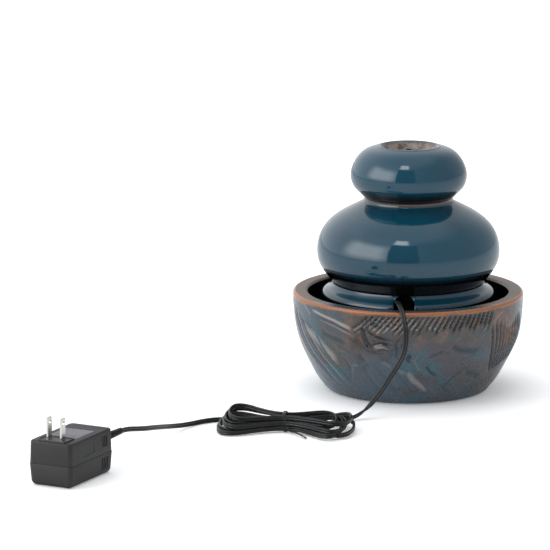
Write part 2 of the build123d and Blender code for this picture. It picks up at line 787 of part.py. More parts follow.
blade_bottom = top_face - blade_tail
with BuildPart() as plug_blades:
    with BuildSketch(adapter_plane.offset(blade_bottom)):
        with Locations((0, blade_line)):
            with GridLocations(blade_spacing, 1, 2, 1):
                Rectangle(blade_thickness, blade_width)
    extrude(amount=blade_tail + plate_thickness + blade_reach)
    chamfer(plug_blades.edges().group_by(Axis.Z)[-1], length=0.5)
    blade_side = Plane(
        origin=adapter_plane.from_local_coords(
            Vector(-blade_spacing, blade_line, top_face + plate_thickness + blade_reach - blade_hole_drop)),
        x_dir=adapter_plane.y_dir,
        z_dir=adapter_plane.x_dir,
    )
    with BuildSketch(blade_side):
        Circle(blade_hole_radius)
    extrude(amount=2 * blade_spacing, mode=Mode.SUBTRACT)
save(plug_blades, "plug_blades")

with BuildPart() as adapter_label:
    with BuildSketch(adapter_plane.offset(top_face)):
        with Locations((0, blade_line + plate_length / 2 + 1.5 + label_length / 2)):
            RectangleRounded(label_width, label_length, 1)
    extrude(amount=label_thickness)
save(adapter_label, "adapter_label")

# ---------------------------------------------------------------- adapter: transformer
core_width = cavity_width - core_room
leg = core_width / 2 - core_window - core_limb
core_plane = Plane(
    origin=adapter_plane.from_local_coords(Vector(0, core_y, transformer_height)),
    x_dir=adapter_plane.x_dir,
    z_dir=adapter_plane.z_dir,
)
window_length = core_length - 2 * core_limb
with BuildPart() as transformer_core:
    with BuildSketch(core_plane.offset(-core_depth / 2)):
        Rectangle(core_width, core_length)
        with GridLocations(2 * leg + core_window, 1, 2, 1):
            Rectangle(core_window, window_length, mode=Mode.SUBTRACT)
    extrude(amount=core_depth)
save(transformer_core, "transformer_core")


def across_leg(start):
    """Plane across the transformer's middle leg, whose extrusions run along it."""
    return Plane(
        origin=core_plane.from_local_coords(Vector(0, start, 0)),
        x_dir=core_plane.x_dir,
        z_dir=core_plane.y_dir,
    )


spool_width = 2 * (leg + bobbin_wall)
spool_height = core_depth + 2 * bobbin_wall
cheek_width = 2 * (leg + core_window) - 0.6
cheek_height = core_depth + 2 * winding_wall + 1
half_window = window_length / 2
with BuildPart() as transformer_bobbin:
    with BuildSketch(across_leg(-half_window)):
        Rectangle(spool_width, spool_height)
    extrude(amount=window_length)
    for cheek_start in (-half_window, -bobbin_wall / 2 - split_shift, half_window - bobbin_wall):
        with BuildSketch(across_leg(cheek_start)):
            Rectangle(cheek_width, cheek_height)
        extrude(amount=bobbin_wall)
    with BuildSketch(across_leg(-half_window)):
        Rectangle(2 * leg, core_depth)
    extrude(amount=window_length, mode=Mode.SUBTRACT)
save(transformer_bobbin, "transformer_bobbin")

split_line = -bobbin_wall / 2 - split_shift
windings = {
    "primary_winding": (split_line + bobbin_wall, half_window - bobbin_wall),
    "secondary_winding": (-half_window + bobbin_wall, split_line),
}
for winding_name, (winding_start, winding_end) in windings.items():
    with BuildPart() as winding:
        with BuildSketch(across_leg(winding_start)):
            RectangleRounded(spool_width + 2 * winding_wall, spool_height + 2 * winding_wall - 1, 2)
            Rectangle(spool_width, spool_height, mode=Mode.SUBTRACT)
        extrude(amount=winding_end - winding_start)
    save(winding, winding_name)
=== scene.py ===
import math
import bpy
import numpy as np
from mathutils import Matrix, Vector


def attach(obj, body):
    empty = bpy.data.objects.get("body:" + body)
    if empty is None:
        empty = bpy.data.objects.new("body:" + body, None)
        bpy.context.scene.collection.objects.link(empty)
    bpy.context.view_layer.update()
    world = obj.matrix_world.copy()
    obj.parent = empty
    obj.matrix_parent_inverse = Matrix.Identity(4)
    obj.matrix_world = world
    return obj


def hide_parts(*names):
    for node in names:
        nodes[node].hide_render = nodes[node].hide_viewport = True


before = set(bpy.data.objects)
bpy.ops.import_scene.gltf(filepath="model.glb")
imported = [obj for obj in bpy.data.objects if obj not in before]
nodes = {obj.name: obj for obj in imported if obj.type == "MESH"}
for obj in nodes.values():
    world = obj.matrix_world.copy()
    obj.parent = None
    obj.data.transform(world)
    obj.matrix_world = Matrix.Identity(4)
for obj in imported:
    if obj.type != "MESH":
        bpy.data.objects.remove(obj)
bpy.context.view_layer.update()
print("frame loaded:", len(nodes), "nodes")

# The scene is in metres, +Z up, with the origin under the middle of the bowl; outlines are in mm.
# The lead leaves over the rim at -Y, and the camera looks from that side.


def clearSelection():
    if bpy.context.object and bpy.context.object.mode != "OBJECT":
        bpy.ops.object.mode_set(mode="OBJECT")
    bpy.ops.object.select_all(action="DESELECT")


def makeActive(piece):
    clearSelection()
    piece.select_set(True)
    bpy.context.view_layer.objects.active = piece


def closeSkin(piece, gap=0.00001):
    # joins doubled points and turns every face outwards
    makeActive(piece)
    bpy.ops.object.mode_set(mode="EDIT")
    bpy.ops.mesh.select_mode(type="VERT")
    bpy.ops.mesh.select_all(action="SELECT")
    bpy.ops.mesh.remove_doubles(threshold=gap)
    bpy.ops.mesh.normals_make_consistent(inside=False)
    bpy.ops.object.mode_set(mode="OBJECT")


def smoothPiece(piece, angle=35):
    makeActive(piece)
    bpy.ops.object.shade_smooth_by_angle(angle=math.radians(angle))


def settle(piece):
    # puts a piece's place and turn into its mesh
    makeActive(piece)
    bpy.ops.object.transform_apply(location=True, rotation=True, scale=True)


def spinOutline(name, outline, steps):
    # one point is drawn out along the outline, and the line is spun round the z axis
    clearSelection()
    bpy.ops.mesh.primitive_plane_add(size=0.001, location=(0, 0, 0))
    piece = bpy.context.object
    piece.name = name
    bpy.ops.object.mode_set(mode="EDIT")
    bpy.ops.mesh.select_mode(type="VERT")
    bpy.ops.mesh.select_all(action="SELECT")
    bpy.ops.mesh.merge(type="CENTER")
    bpy.ops.transform.translate(value=(outline[0][0], 0, outline[0][1]))
    for here, there in zip(outline, outline[1:]):
        step = (there[0] - here[0], 0, there[1] - here[1])
        bpy.ops.mesh.extrude_vertices_move(TRANSFORM_OT_translate={"value": step})
    bpy.ops.mesh.select_all(action="SELECT")
    bpy.ops.mesh.spin(steps=steps, angle=2 * math.pi, center=(0, 0, 0), axis=(0, 0, 1))
    bpy.ops.object.mode_set(mode="OBJECT")
    closeSkin(piece)
    return piece


def smoothRun(points, startWay, endWay, count):
    # points along a cubic through the given ones, leaving and arriving in the given directions
    places = np.array(points, float)
    chords = np.linalg.norm(np.diff(places, axis=0), axis=1)
    knots = np.concatenate(([0], np.cumsum(chords)))
    last = len(places) - 1
    system = np.eye(last + 1)
    wanted = np.zeros((last + 1, 2))
    wanted[0] = np.array(startWay) / np.linalg.norm(startWay)
    wanted[last] = np.array(endWay) / np.linalg.norm(endWay)
    for i in range(1, last):
        before, after = chords[i - 1], chords[i]
        system[i, i - 1:i + 2] = after, 2 * (before + after), before
        wanted[i] = 3 * (after * (places[i] - places[i - 1]) / before
                         + before * (places[i + 1] - places[i]) / after)
    slopes = np.linalg.solve(system, wanted)
    run = []
    for along in np.linspace(0, knots[-1], count):
        i = min(int(np.searchsorted(knots, along, side="right")) - 1, last - 1)
        u = (along - knots[i]) / chords[i]
        start = (1 + 2 * u) * (1 - u) ** 2 * places[i] + u * (1 - u) ** 2 * chords[i] * slopes[i]
        end = u * u * (3 - 2 * u) * places[i + 1] + u * u * (u - 1) * chords[i] * slopes[i + 1]
        run.append(tuple(start + end))
    return run


def arcRun(centre, radius, fromAngle, toAngle, count):
    # points along an arc in the outline's own plane, angles in degrees
    run = []
    for angle in np.radians(np.linspace(fromAngle, toAngle, count)):
        run.append((centre[0] + radius * math.cos(angle), centre[1] + radius * math.sin(angle)))
    return run


def throughThree(first, middle, third, count):
    # points along the arc through three points of an outline
    a, b, c = (complex(*point) for point in (first, middle, third))
    ratio = (c - a) / (b - a)
    centre = (b - a) * (ratio - abs(ratio) ** 2) / (2j * ratio.imag) + a
    turns = np.unwrap([math.atan2((point - centre).imag, (point - centre).real) for point in (a, b, c)])
    return arcRun((centre.real, centre.imag), abs(a - centre), *np.degrees(turns[[0, 2]]), count)


def inMetres(outline):
    return [(x * 0.001, z * 0.001) for x, z in outline]


def finishPiece(piece, angle, finish, body, slotName, *replaced):
    # smooth shading below the angle, the finish, and what the piece rides on and stands in for
    smoothPiece(piece, angle)
    piece.data.materials.append(materials[finish])
    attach(piece, body)
    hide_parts(*replaced)
    return piece


def storeOnPoints(piece, name, values):
    layer = piece.data.attributes.new(name, "FLOAT", "POINT")
    layer.data.foreach_set("value", np.asarray(values, np.float32))


def pointsOf(piece):
    spots = np.zeros(len(piece.data.vertices) * 3)
    piece.data.vertices.foreach_get("co", spots)
    return spots.reshape(-1, 3)


def skinRings(name, rings, gap):
    # a closed skin over rings of points, each ring joined to the next
    size = len(rings[0])
    last = (len(rings) - 1) * size
    faces = []
    for first in range(0, last, size):
        for corner in range(size):
            a, b = first + corner, first + (corner + 1) % size
            faces.append((a, b, b + size, a + size))
    faces.append(tuple(reversed(range(size))))
    faces.append(tuple(range(last, last + size)))
    mesh = bpy.data.meshes.new(name)
    mesh.from_pydata([spot for ring in rings for spot in ring], [], faces)
    piece = bpy.data.objects.new(name, mesh)
    bpy.context.scene.collection.objects.link(piece)
    closeSkin(piece, gap=gap)
    return piece


def sweepSection(name, line, wideWays, section):
    # a tube of the given section along a line; its width lies along wideWays
    rings = []
    last = len(line) - 1
    for i, middle in enumerate(line):
        way = (line[min(i + 1, last)] - line[max(i - 1, 0)]).normalized()
        wide = (wideWays[i] - way * wideWays[i].dot(way)).normalized()
        thick = way.cross(wide)
        rings.append([tuple(middle + wide * x + thick * y) for x, y in section])
    return skinRings(name, rings, gap=0.000001)


def splineLine(points, fineness):
    # the places along a smooth spline that has these points as its control points
    curve = bpy.data.curves.new("route", "CURVE")
    curve.dimensions = "3D"
    spline = curve.splines.new("NURBS")
    spline.points.add(len(points) - 1)
    for place, point in zip(spline.points, points):
        place.co = (*point, 1)
    spline.order_u = 3
    spline.use_endpoint_u = True
    spline.resolution_u = fineness
    holder = bpy.data.objects.new("route", curve)
    mesh = bpy.data.meshes.new_from_object(holder)
    line = [vertex.co.copy() for vertex in mesh.vertices]
    bpy.data.meshes.remove(mesh)
    bpy.data.curves.remove(curve)
    return line


def newMaterial(name):
    material = bpy.data.materials.new(name)
    material.use_nodes = True
    return material, material.node_tree, material.node_tree.nodes["Principled BSDF"]


def attribute(tree, name):
    node = tree.nodes.new("ShaderNodeAttribute")
    node.attribute_name = name
    return node.outputs["Fac"]


def mixColour(tree, mask, first, second):
    # first where the mask is 0 and second where it is 1; each is a socket or a colour
    node = tree.nodes.new("ShaderNodeMix")
    node.data_type = "RGBA"
    tree.links.new(mask, node.inputs[0])
    for given, socket in ((first, node.inputs[6]), (second, node.inputs[7])):
        if isinstance(given, tuple):
            socket.default_value = given
        else:
            tree.links.new(given, socket)
    return node.outputs[2]


def mixNumber(tree, mask, first, second):
    node = tree.nodes.new("ShaderNodeMix")
    tree.links.new(mask, node.inputs[0])
    for given, socket in ((first, node.inputs[2]), (second, node.inputs[3])):
        if isinstance(given, (int, float)):
            socket.default_value = given
        else:
            tree.links.new(given, socket)
    return node.outputs[0]


def ramp(tree, value, low, high, bottom=0, top=1):
    node = tree.nodes.new("ShaderNodeMapRange")
    node.interpolation_type = "SMOOTHSTEP"
    for label, number in (("From Min", low), ("From Max", high), ("To Min", bottom), ("To Max", top)):
        node.inputs[label].default_value = number
    tree.links.new(value, node.inputs["Value"])
    return node.outputs[0]


def arithmetic(tree, operation, first, second):
    node = tree.nodes.new("ShaderNodeMath")
    node.operation = operation
    for given, socket in ((first, node.inputs[0]), (second, node.inputs[1])):
        if isinstance(given, (int, float)):
            socket.default_value = given
        else:
            tree.links.new(given, socket)
    return node.outputs[0]


def makeCamera():
    view = {"place": (0.17356, -3.71413, 0.8684), "tilt": 78.34, "turn": 4.5, "lens": 279.3}
    clearSelection()
    bpy.ops.object.camera_add(location=view["place"],
                              rotation=(math.radians(view["tilt"]), 0, math.radians(view["turn"])))
    camera = bpy.context.object
    camera.data.lens = view["lens"]
    camera.data.sensor_width = 36
    camera.data.clip_end = 60
    bpy.context.scene.camera = camera


def makeFloor():
    # white paper that glows a little away from the pieces, as a lit sweep does
    look = {"size": 14, "white": (0.92, 0.92, 0.92, 1), "roughness": 0.75, "shine": 0.1,
            "middle": (-0.09, -0.15, 0), "glowFrom": 0.14, "glowTo": 0.75,
            "leastGlow": 0.16, "mostGlow": 0.6}
    clearSelection()
    bpy.ops.mesh.primitive_plane_add(size=look["size"], location=(0, 2, 0))
    floor = bpy.context.object
    floor.name = "studioFloor"
    settle(floor)
    paint, tree, shader = newMaterial("floorWhite")
    shader.inputs["Base Color"].default_value = look["white"]
    shader.inputs["Roughness"].default_value = look["roughness"]
    shader.inputs["Specular IOR Level"].default_value = look["shine"]
    shader.inputs["Emission Color"].default_value = (1, 1, 1, 1)
    place = tree.nodes.new("ShaderNodeTexCoord")
    fromMiddle = tree.nodes.new("ShaderNodeVectorMath")
    fromMiddle.operation = "SUBTRACT"
    fromMiddle.inputs[1].default_value = look["middle"]
    length = tree.nodes.new("ShaderNodeVectorMath")
    length.operation = "LENGTH"
    tree.links.new(place.outputs["Object"], fromMiddle.inputs[0])
    tree.links.new(fromMiddle.outputs[0], length.inputs[0])
    glow = ramp(tree, length.outputs["Value"], look["glowFrom"], look["glowTo"],
                look["leastGlow"], look["mostGlow"])
    # the glow isn't mirrored in the glaze
    rays = tree.nodes.new("ShaderNodeLightPath")
    unmirrored = arithmetic(tree, "SUBTRACT", 1, rays.outputs["Is Glossy Ray"])
    tree.links.new(arithmetic(tree, "MULTIPLY", glow, unmirrored), shader.inputs["Emission Strength"])
    floor.data.materials.append(paint)


softBoxes = {
    "topBox": {"place": (-0.3, 0.1, 2.1), "aim": (0, 0, 0.1), "size": (1.9, 1.9), "power": 18},
    "leftBox": {"place": (-2.0, -1.2, 1.2), "aim": (0, 0, 0.12), "size": (0.9, 1.5), "power": 10},
    "rightBox": {"place": (2.1, -0.9, 1.4), "aim": (0, 0, 0.12), "size": (0.5, 1.2), "power": 2},
}


def addSoftBox(name, box):
    # lights the pieces, but isn't mirrored in them
    lamp = bpy.data.lights.new(name, "AREA")
    lamp.shape = "RECTANGLE"
    lamp.size, lamp.size_y = box["size"]
    lamp.energy = box["power"]
    holder = bpy.data.objects.new(name, lamp)
    bpy.context.scene.collection.objects.link(holder)
    holder.location = box["place"]
    holder.rotation_euler = (Vector(box["aim"]) - holder.location).to_track_quat("-Z", "Y").to_euler()
    holder.visible_glossy = False


# What the glaze mirrors: each patch of the studio has a middle and half size in degrees, round
# from the camera's side and up from the floor, a soft edge in degrees, and a brightness.
studioPatches = {
    "leftBox": {"middle": (-56, 22), "half": (15, 8), "edge": (26, 18), "bright": 4.4},
    "rightWall": {"middle": (78, 10), "half": (42, 30), "edge": (40, 30), "bright": 0.6},
    "overhead": {"middle": (0, 80), "half": (180, 8), "edge": (1, 26), "bright": 1.05},
    "opening": {"middle": (-4, 22), "half": (19, 24), "edge": (2.5, 4), "bright": 0.26},
    "lamp": {"middle": (-10, 57), "half": (9, 4), "edge": (7, 5), "bright": 6.0},
}


def lightStudio():
    # brightness of the sky from the left to the right: as the glaze mirrors it, and as it lights
    studio = {"mirroredLeft": 1.36, "mirroredRight": 0.576, "left": 1.15, "right": 0.55,
              "behindCamera": 0.6, "tint": (0.98, 1, 1.025, 1)}
    world = bpy.data.worlds.new("studioSky")
    bpy.context.scene.world = world
    world.use_nodes = True
    tree = world.node_tree
    tree.nodes.clear()
    link = tree.links.new
    place = tree.nodes.new("ShaderNodeTexCoord")
    split = tree.nodes.new("ShaderNodeSeparateXYZ")
    link(place.outputs["Generated"], split.inputs[0])
    toCamera = arithmetic(tree, "MULTIPLY", split.outputs["Y"], -1)
    aside = arithmetic(tree, "DEGREES", arithmetic(tree, "ARCTAN2", split.outputs["X"], toCamera), 0)
    up = arithmetic(tree, "DEGREES", arithmetic(tree, "ARCSINE", split.outputs["Z"], 0), 0)
    mirrored = ramp(tree, split.outputs["X"], -0.9, 0.9, studio["mirroredLeft"], studio["mirroredRight"])
    for patch in studioPatches.values():
        mask = None
        for angle, middle, half, edge in zip((aside, up), patch["middle"], patch["half"], patch["edge"]):
            away = arithmetic(tree, "ABSOLUTE", arithmetic(tree, "SUBTRACT", angle, middle), 0)
            side = ramp(tree, away, half, half + edge, 1, 0)
            mask = side if mask is None else arithmetic(tree, "MULTIPLY", mask, side)
        mirrored = mixNumber(tree, mask, mirrored, patch["bright"])
    lit = arithmetic(tree, "MULTIPLY",
                     ramp(tree, split.outputs["X"], -0.9, 0.9, studio["left"], studio["right"]),
                     ramp(tree, split.outputs["Y"], -0.99, -0.86, studio["behindCamera"], 1))
    rays = tree.nodes.new("ShaderNodeLightPath")
    strength = mixNumber(tree, rays.outputs["Is Glossy Ray"], lit, mirrored)
    strength = mixNumber(tree, rays.outputs["Is Camera Ray"], strength, 1.0)
    sky = tree.nodes.new("ShaderNodeBackground")
    link(mixColour(tree, rays.outputs["Is Camera Ray"], studio["tint"], (1, 1, 1, 1)),
         sky.inputs["Color"])
    out = tree.nodes.new("ShaderNodeOutputWorld")
    link(strength, sky.inputs["Strength"])
    link(sky.outputs[0], out.inputs["Surface"])
    for name, box in softBoxes.items():
        addSoftBox(name, box)
    bpy.context.scene.view_settings.view_transform = "Standard"


makeCamera()
makeFloor()
lightStudio()
print("camera, floor and light ready")


def newGroup(name, inputs, outputs):
    group = bpy.data.node_groups.new(name, "ShaderNodeTree")
    kinds = {"number": "NodeSocketFloat", "colour": "NodeSocketColor", "vector": "NodeSocketVector"}
    for label, kind in inputs:
        group.interface.new_socket(label, in_out="INPUT", socket_type=kinds[kind])
    for label, kind in outputs:
        group.interface.new_socket(label, in_out="OUTPUT", socket_type=kinds[kind])
    return group, group.nodes.new("NodeGroupInput"), group.nodes.new("NodeGroupOutput")


def makeFineGrain():
    # fine grain in the surface: an uneven roughness and a slight bump
    group, given, out = newGroup(
        "fineGrain",
        [("Scale", "number"), ("Depth", "number"), ("Smoothest", "number"), ("Roughest", "number")],
        [("Roughness", "number"), ("Normal", "vector")])
    place = group.nodes.new("ShaderNodeTexCoord")
    cloud = group.nodes.new("ShaderNodeTexNoise")
    cloud.inputs["Detail"].default_value = 4
    spread = group.nodes.new("ShaderNodeMapRange")
    spread.inputs["From Min"].default_value = 0.3
    spread.inputs["From Max"].default_value = 0.7
    bump = group.nodes.new("ShaderNodeBump")
    link = group.links.new
    link(place.outputs["Object"], cloud.inputs["Vector"])
    link(given.outputs["Scale"], cloud.inputs["Scale"])
    link(cloud.outputs[0], spread.inputs["Value"])
    link(given.outputs["Smoothest"], spread.inputs["To Min"])
    link(given.outputs["Roughest"], spread.inputs["To Max"])
    link(cloud.outputs[0], bump.inputs["Height"])
    link(given.outputs["Depth"], bump.inputs["Distance"])
    link(spread.outputs[0], out.inputs["Roughness"])
    link(bump.outputs[0], out.inputs["Normal"])
    return group


def makeMottle():
    # two colours that meet along a cloudy edge
    group, given, out = newGroup(
        "mottle",
        [("Vector", "vector"), ("First", "colour"), ("Second", "colour"), ("Scale", "number"),
         ("Detail", "number"), ("From", "number"), ("To", "number")],
        [("Color", "colour"), ("Mask", "number")])
    cloud = group.nodes.new("ShaderNodeTexNoise")
    cloud.inputs["Roughness"].default_value = 0.6
    edge = group.nodes.new("ShaderNodeMapRange")
    edge.interpolation_type = "SMOOTHSTEP"
    link = group.links.new
    link(given.outputs["Vector"], cloud.inputs["Vector"])
    link(given.outputs["Scale"], cloud.inputs["Scale"])
    link(given.outputs["Detail"], cloud.inputs["Detail"])
    link(cloud.outputs[0], edge.inputs["Value"])
    link(given.outputs["From"], edge.inputs["From Min"])
    link(given.outputs["To"], edge.inputs["From Max"])
    link(mixColour(group, edge.outputs[0], given.outputs["First"], given.outputs["Second"]),
         out.inputs["Color"])
    link(edge.outputs[0], out.inputs["Mask"])
    return group


def makeEdgeWear():
    # a mask that is 1 on outer edges, broken up by fine noise
    group, given, out = newGroup("edgeWear", [("Scale", "number"), ("Amount", "number")],
                                 [("Mask", "number")])
    shape = group.nodes.new("ShaderNodeNewGeometry")
    edge = group.nodes.new("ShaderNodeMapRange")
    edge.inputs["From Min"].default_value = 0.52
    edge.inputs["From Max"].default_value = 0.6
    place = group.nodes.new("ShaderNodeTexCoord")
    cloud = group.nodes.new("ShaderNodeTexNoise")
    cloud.inputs["Detail"].default_value = 6
    link = group.links.new
    link(shape.outputs["Pointiness"], edge.inputs["Value"])
    link(place.outputs["Object"], cloud.inputs["Vector"])
    link(given.outputs["Scale"], cloud.inputs["Scale"])
    broken = arithmetic(group, "MULTIPLY", edge.outputs[0], cloud.outputs[0])
    mask = arithmetic(group, "MULTIPLY", broken, given.outputs["Amount"])
    mask.node.use_clamp = True
    link(mask, out.inputs["Mask"])
    return group


fineGrain, mottle, edgeWear = makeFineGrain(), makeMottle(), makeEdgeWear()


def placeGroup(tree, group, **values):
    node = tree.nodes.new("ShaderNodeGroup")
    node.node_tree = group
    for label, value in values.items():
        node.inputs[label].default_value = value
    return node


def mottled(tree, **values):
    # the mottle group on the piece's own coordinates
    node = placeGroup(tree, mottle, **values)
    place = tree.nodes.new("ShaderNodeTexCoord")
    tree.links.new(place.outputs["Object"], node.inputs["Vector"])
    return node


def addGrain(tree, shader, **values):
    # bumps the shader with fine grain, and gives back the roughness that goes with it
    grain = placeGroup(tree, fineGrain, **values)
    tree.links.new(grain.outputs["Normal"], shader.inputs["Normal"])
    return grain.outputs["Roughness"]


def shopMaterial(name, look):
    # a moulded, turned or drawn material: two near colours, fine grain and worn edges
    material, tree, shader = newMaterial(name)
    link = tree.links.new
    place = tree.nodes.new("ShaderNodeTexCoord")
    stretch = tree.nodes.new("ShaderNodeMapping")
    stretch.inputs["Scale"].default_value = look.get("stretch", (1, 1, 1))
    stretch.inputs["Rotation"].default_value = (0, 0, math.radians(look.get("turn", 0)))
    link(place.outputs["Object"], stretch.inputs["Vector"])
    cloud = placeGroup(tree, mottle, First=look["colour"] + (1,), Second=look["second"] + (1,),
                       Scale=look["scale"], Detail=3, From=0.35, To=0.65)
    link(stretch.outputs[0], cloud.inputs["Vector"])
    wear = placeGroup(tree, edgeWear, Scale=look["grain"] / 6, Amount=look.get("wear", 0.4))
    worn = tuple(min(1, 1.6 * part + 0.03) for part in look["colour"]) + (1,)
    link(mixColour(tree, wear.outputs[0], cloud.outputs["Color"], worn), shader.inputs["Base Color"])
    low, high = look["roughness"]
    rough = addGrain(tree, shader, Scale=look["grain"], Depth=look["depth"], Smoothest=low, Roughest=high)
    link(rough, shader.inputs["Roughness"])
    shader.inputs["Metallic"].default_value = look.get("metallic", 0)
    shader.inputs["Transmission Weight"].default_value = look.get("clear", 0)
    shader.inputs["IOR"].default_value = look.get("ior", 1.5)
    shader.inputs["Coat Weight"].default_value = look.get("coat", 0)
    shader.inputs["Coat Roughness"].default_value = 0.12
    shader.inputs["Specular IOR Level"].default_value = look.get("shine", 0.5)
    return material


shopLooks = {
    "padRubber": {"colour": (0.035, 0.034, 0.033), "second": (0.05, 0.048, 0.046), "scale": 90,
                  "grain": 900, "depth": 0.00006, "roughness": (0.62, 0.8)},
    "sealRubber": {"colour": (0.02, 0.02, 0.021), "second": (0.032, 0.032, 0.033), "scale": 120,
                   "grain": 1100, "depth": 0.00005, "roughness": (0.5, 0.7)},
    "clearTube": {"colour": (0.86, 0.9, 0.9), "second": (0.78, 0.85, 0.84), "scale": 60, "grain": 500,
                  "depth": 0.00002, "roughness": (0.08, 0.2), "clear": 0.82, "wear": 0, "ior": 1.46},
    "pumpPlastic": {"colour": (0.018, 0.019, 0.021), "second": (0.026, 0.027, 0.03), "scale": 70,
                    "grain": 1400, "depth": 0.00005, "roughness": (0.36, 0.52)},
    "volutePlastic": {"colour": (0.03, 0.032, 0.036), "second": (0.042, 0.044, 0.05), "scale": 80,
                      "grain": 1400, "depth": 0.00004, "roughness": (0.32, 0.46)},
    "sliderPlastic": {"colour": (0.16, 0.17, 0.18), "second": (0.2, 0.21, 0.22), "scale": 150,
                      "grain": 1600, "depth": 0.00003, "roughness": (0.34, 0.48)},
    "impellerPlastic": {"colour": (0.62, 0.64, 0.64), "second": (0.52, 0.55, 0.55), "scale": 120,
                        "grain": 1500, "depth": 0.00003, "roughness": (0.3, 0.45), "wear": 0.1},
    "coreSteel": {"colour": (0.3, 0.29, 0.28), "second": (0.22, 0.21, 0.2), "scale": 160,
                  "grain": 700, "depth": 0.00006, "roughness": (0.35, 0.55), "metallic": 0.9,
                  "stretch": (1, 1, 14)},
    "copperWire": {"colour": (0.62, 0.25, 0.1), "second": (0.46, 0.16, 0.06), "scale": 200,
                   "grain": 900, "depth": 0.0001, "roughness": (0.22, 0.4), "metallic": 1,
                   "stretch": (1, 9, 1), "coat": 0.4},
    "potting": {"colour": (0.028, 0.026, 0.024), "second": (0.04, 0.037, 0.034), "scale": 90,
                "grain": 500, "depth": 0.00008, "roughness": (0.25, 0.5), "wear": 0},
    "shaftCeramic": {"colour": (0.8, 0.79, 0.76), "second": (0.74, 0.73, 0.7), "scale": 200,
                     "grain": 1800, "depth": 0.00001, "roughness": (0.1, 0.2), "wear": 0},
    "ferrite": {"colour": (0.05, 0.05, 0.052), "second": (0.035, 0.035, 0.037), "scale": 260,
                "grain": 1200, "depth": 0.00006, "roughness": (0.42, 0.6), "metallic": 0.4},
    "tieVinyl": {"colour": (0.006, 0.006, 0.006), "second": (0.01, 0.01, 0.01), "scale": 200,
                 "grain": 1200, "depth": 0.00004, "roughness": (0.35, 0.5), "shine": 0.35},
    "casePlastic": {"colour": (0.013, 0.0125, 0.013), "second": (0.0165, 0.016, 0.0165), "scale": 45,
                    "grain": 1500, "depth": 0.00011, "roughness": (0.46, 0.6), "wear": 0.3, "shine": 0.4},
    "platePlastic": {"colour": (0.012, 0.012, 0.013), "second": (0.018, 0.018, 0.019), "scale": 120,
                     "grain": 1600, "depth": 0.00004, "roughness": (0.38, 0.52)},
    "bladeNickel": {"colour": (0.66, 0.64, 0.6), "second": (0.56, 0.54, 0.5), "scale": 260,
                    "grain": 1800, "depth": 0.00003, "roughness": (0.16, 0.3), "metallic": 1,
                    "stretch": (1, 1, 0.15), "wear": 0.2},
    "labelFilm": {"colour": (0.035, 0.032, 0.038), "second": (0.085, 0.073, 0.1), "scale": 38,
                  "grain": 700, "depth": 0.00003, "roughness": (0.24, 0.4), "metallic": 0.35, "wear": 0},
    "bobbinNylon": {"colour": (0.55, 0.52, 0.44), "second": (0.48, 0.45, 0.38), "scale": 140,
                    "grain": 1300, "depth": 0.00004, "roughness": (0.4, 0.55), "wear": 0.1},
}


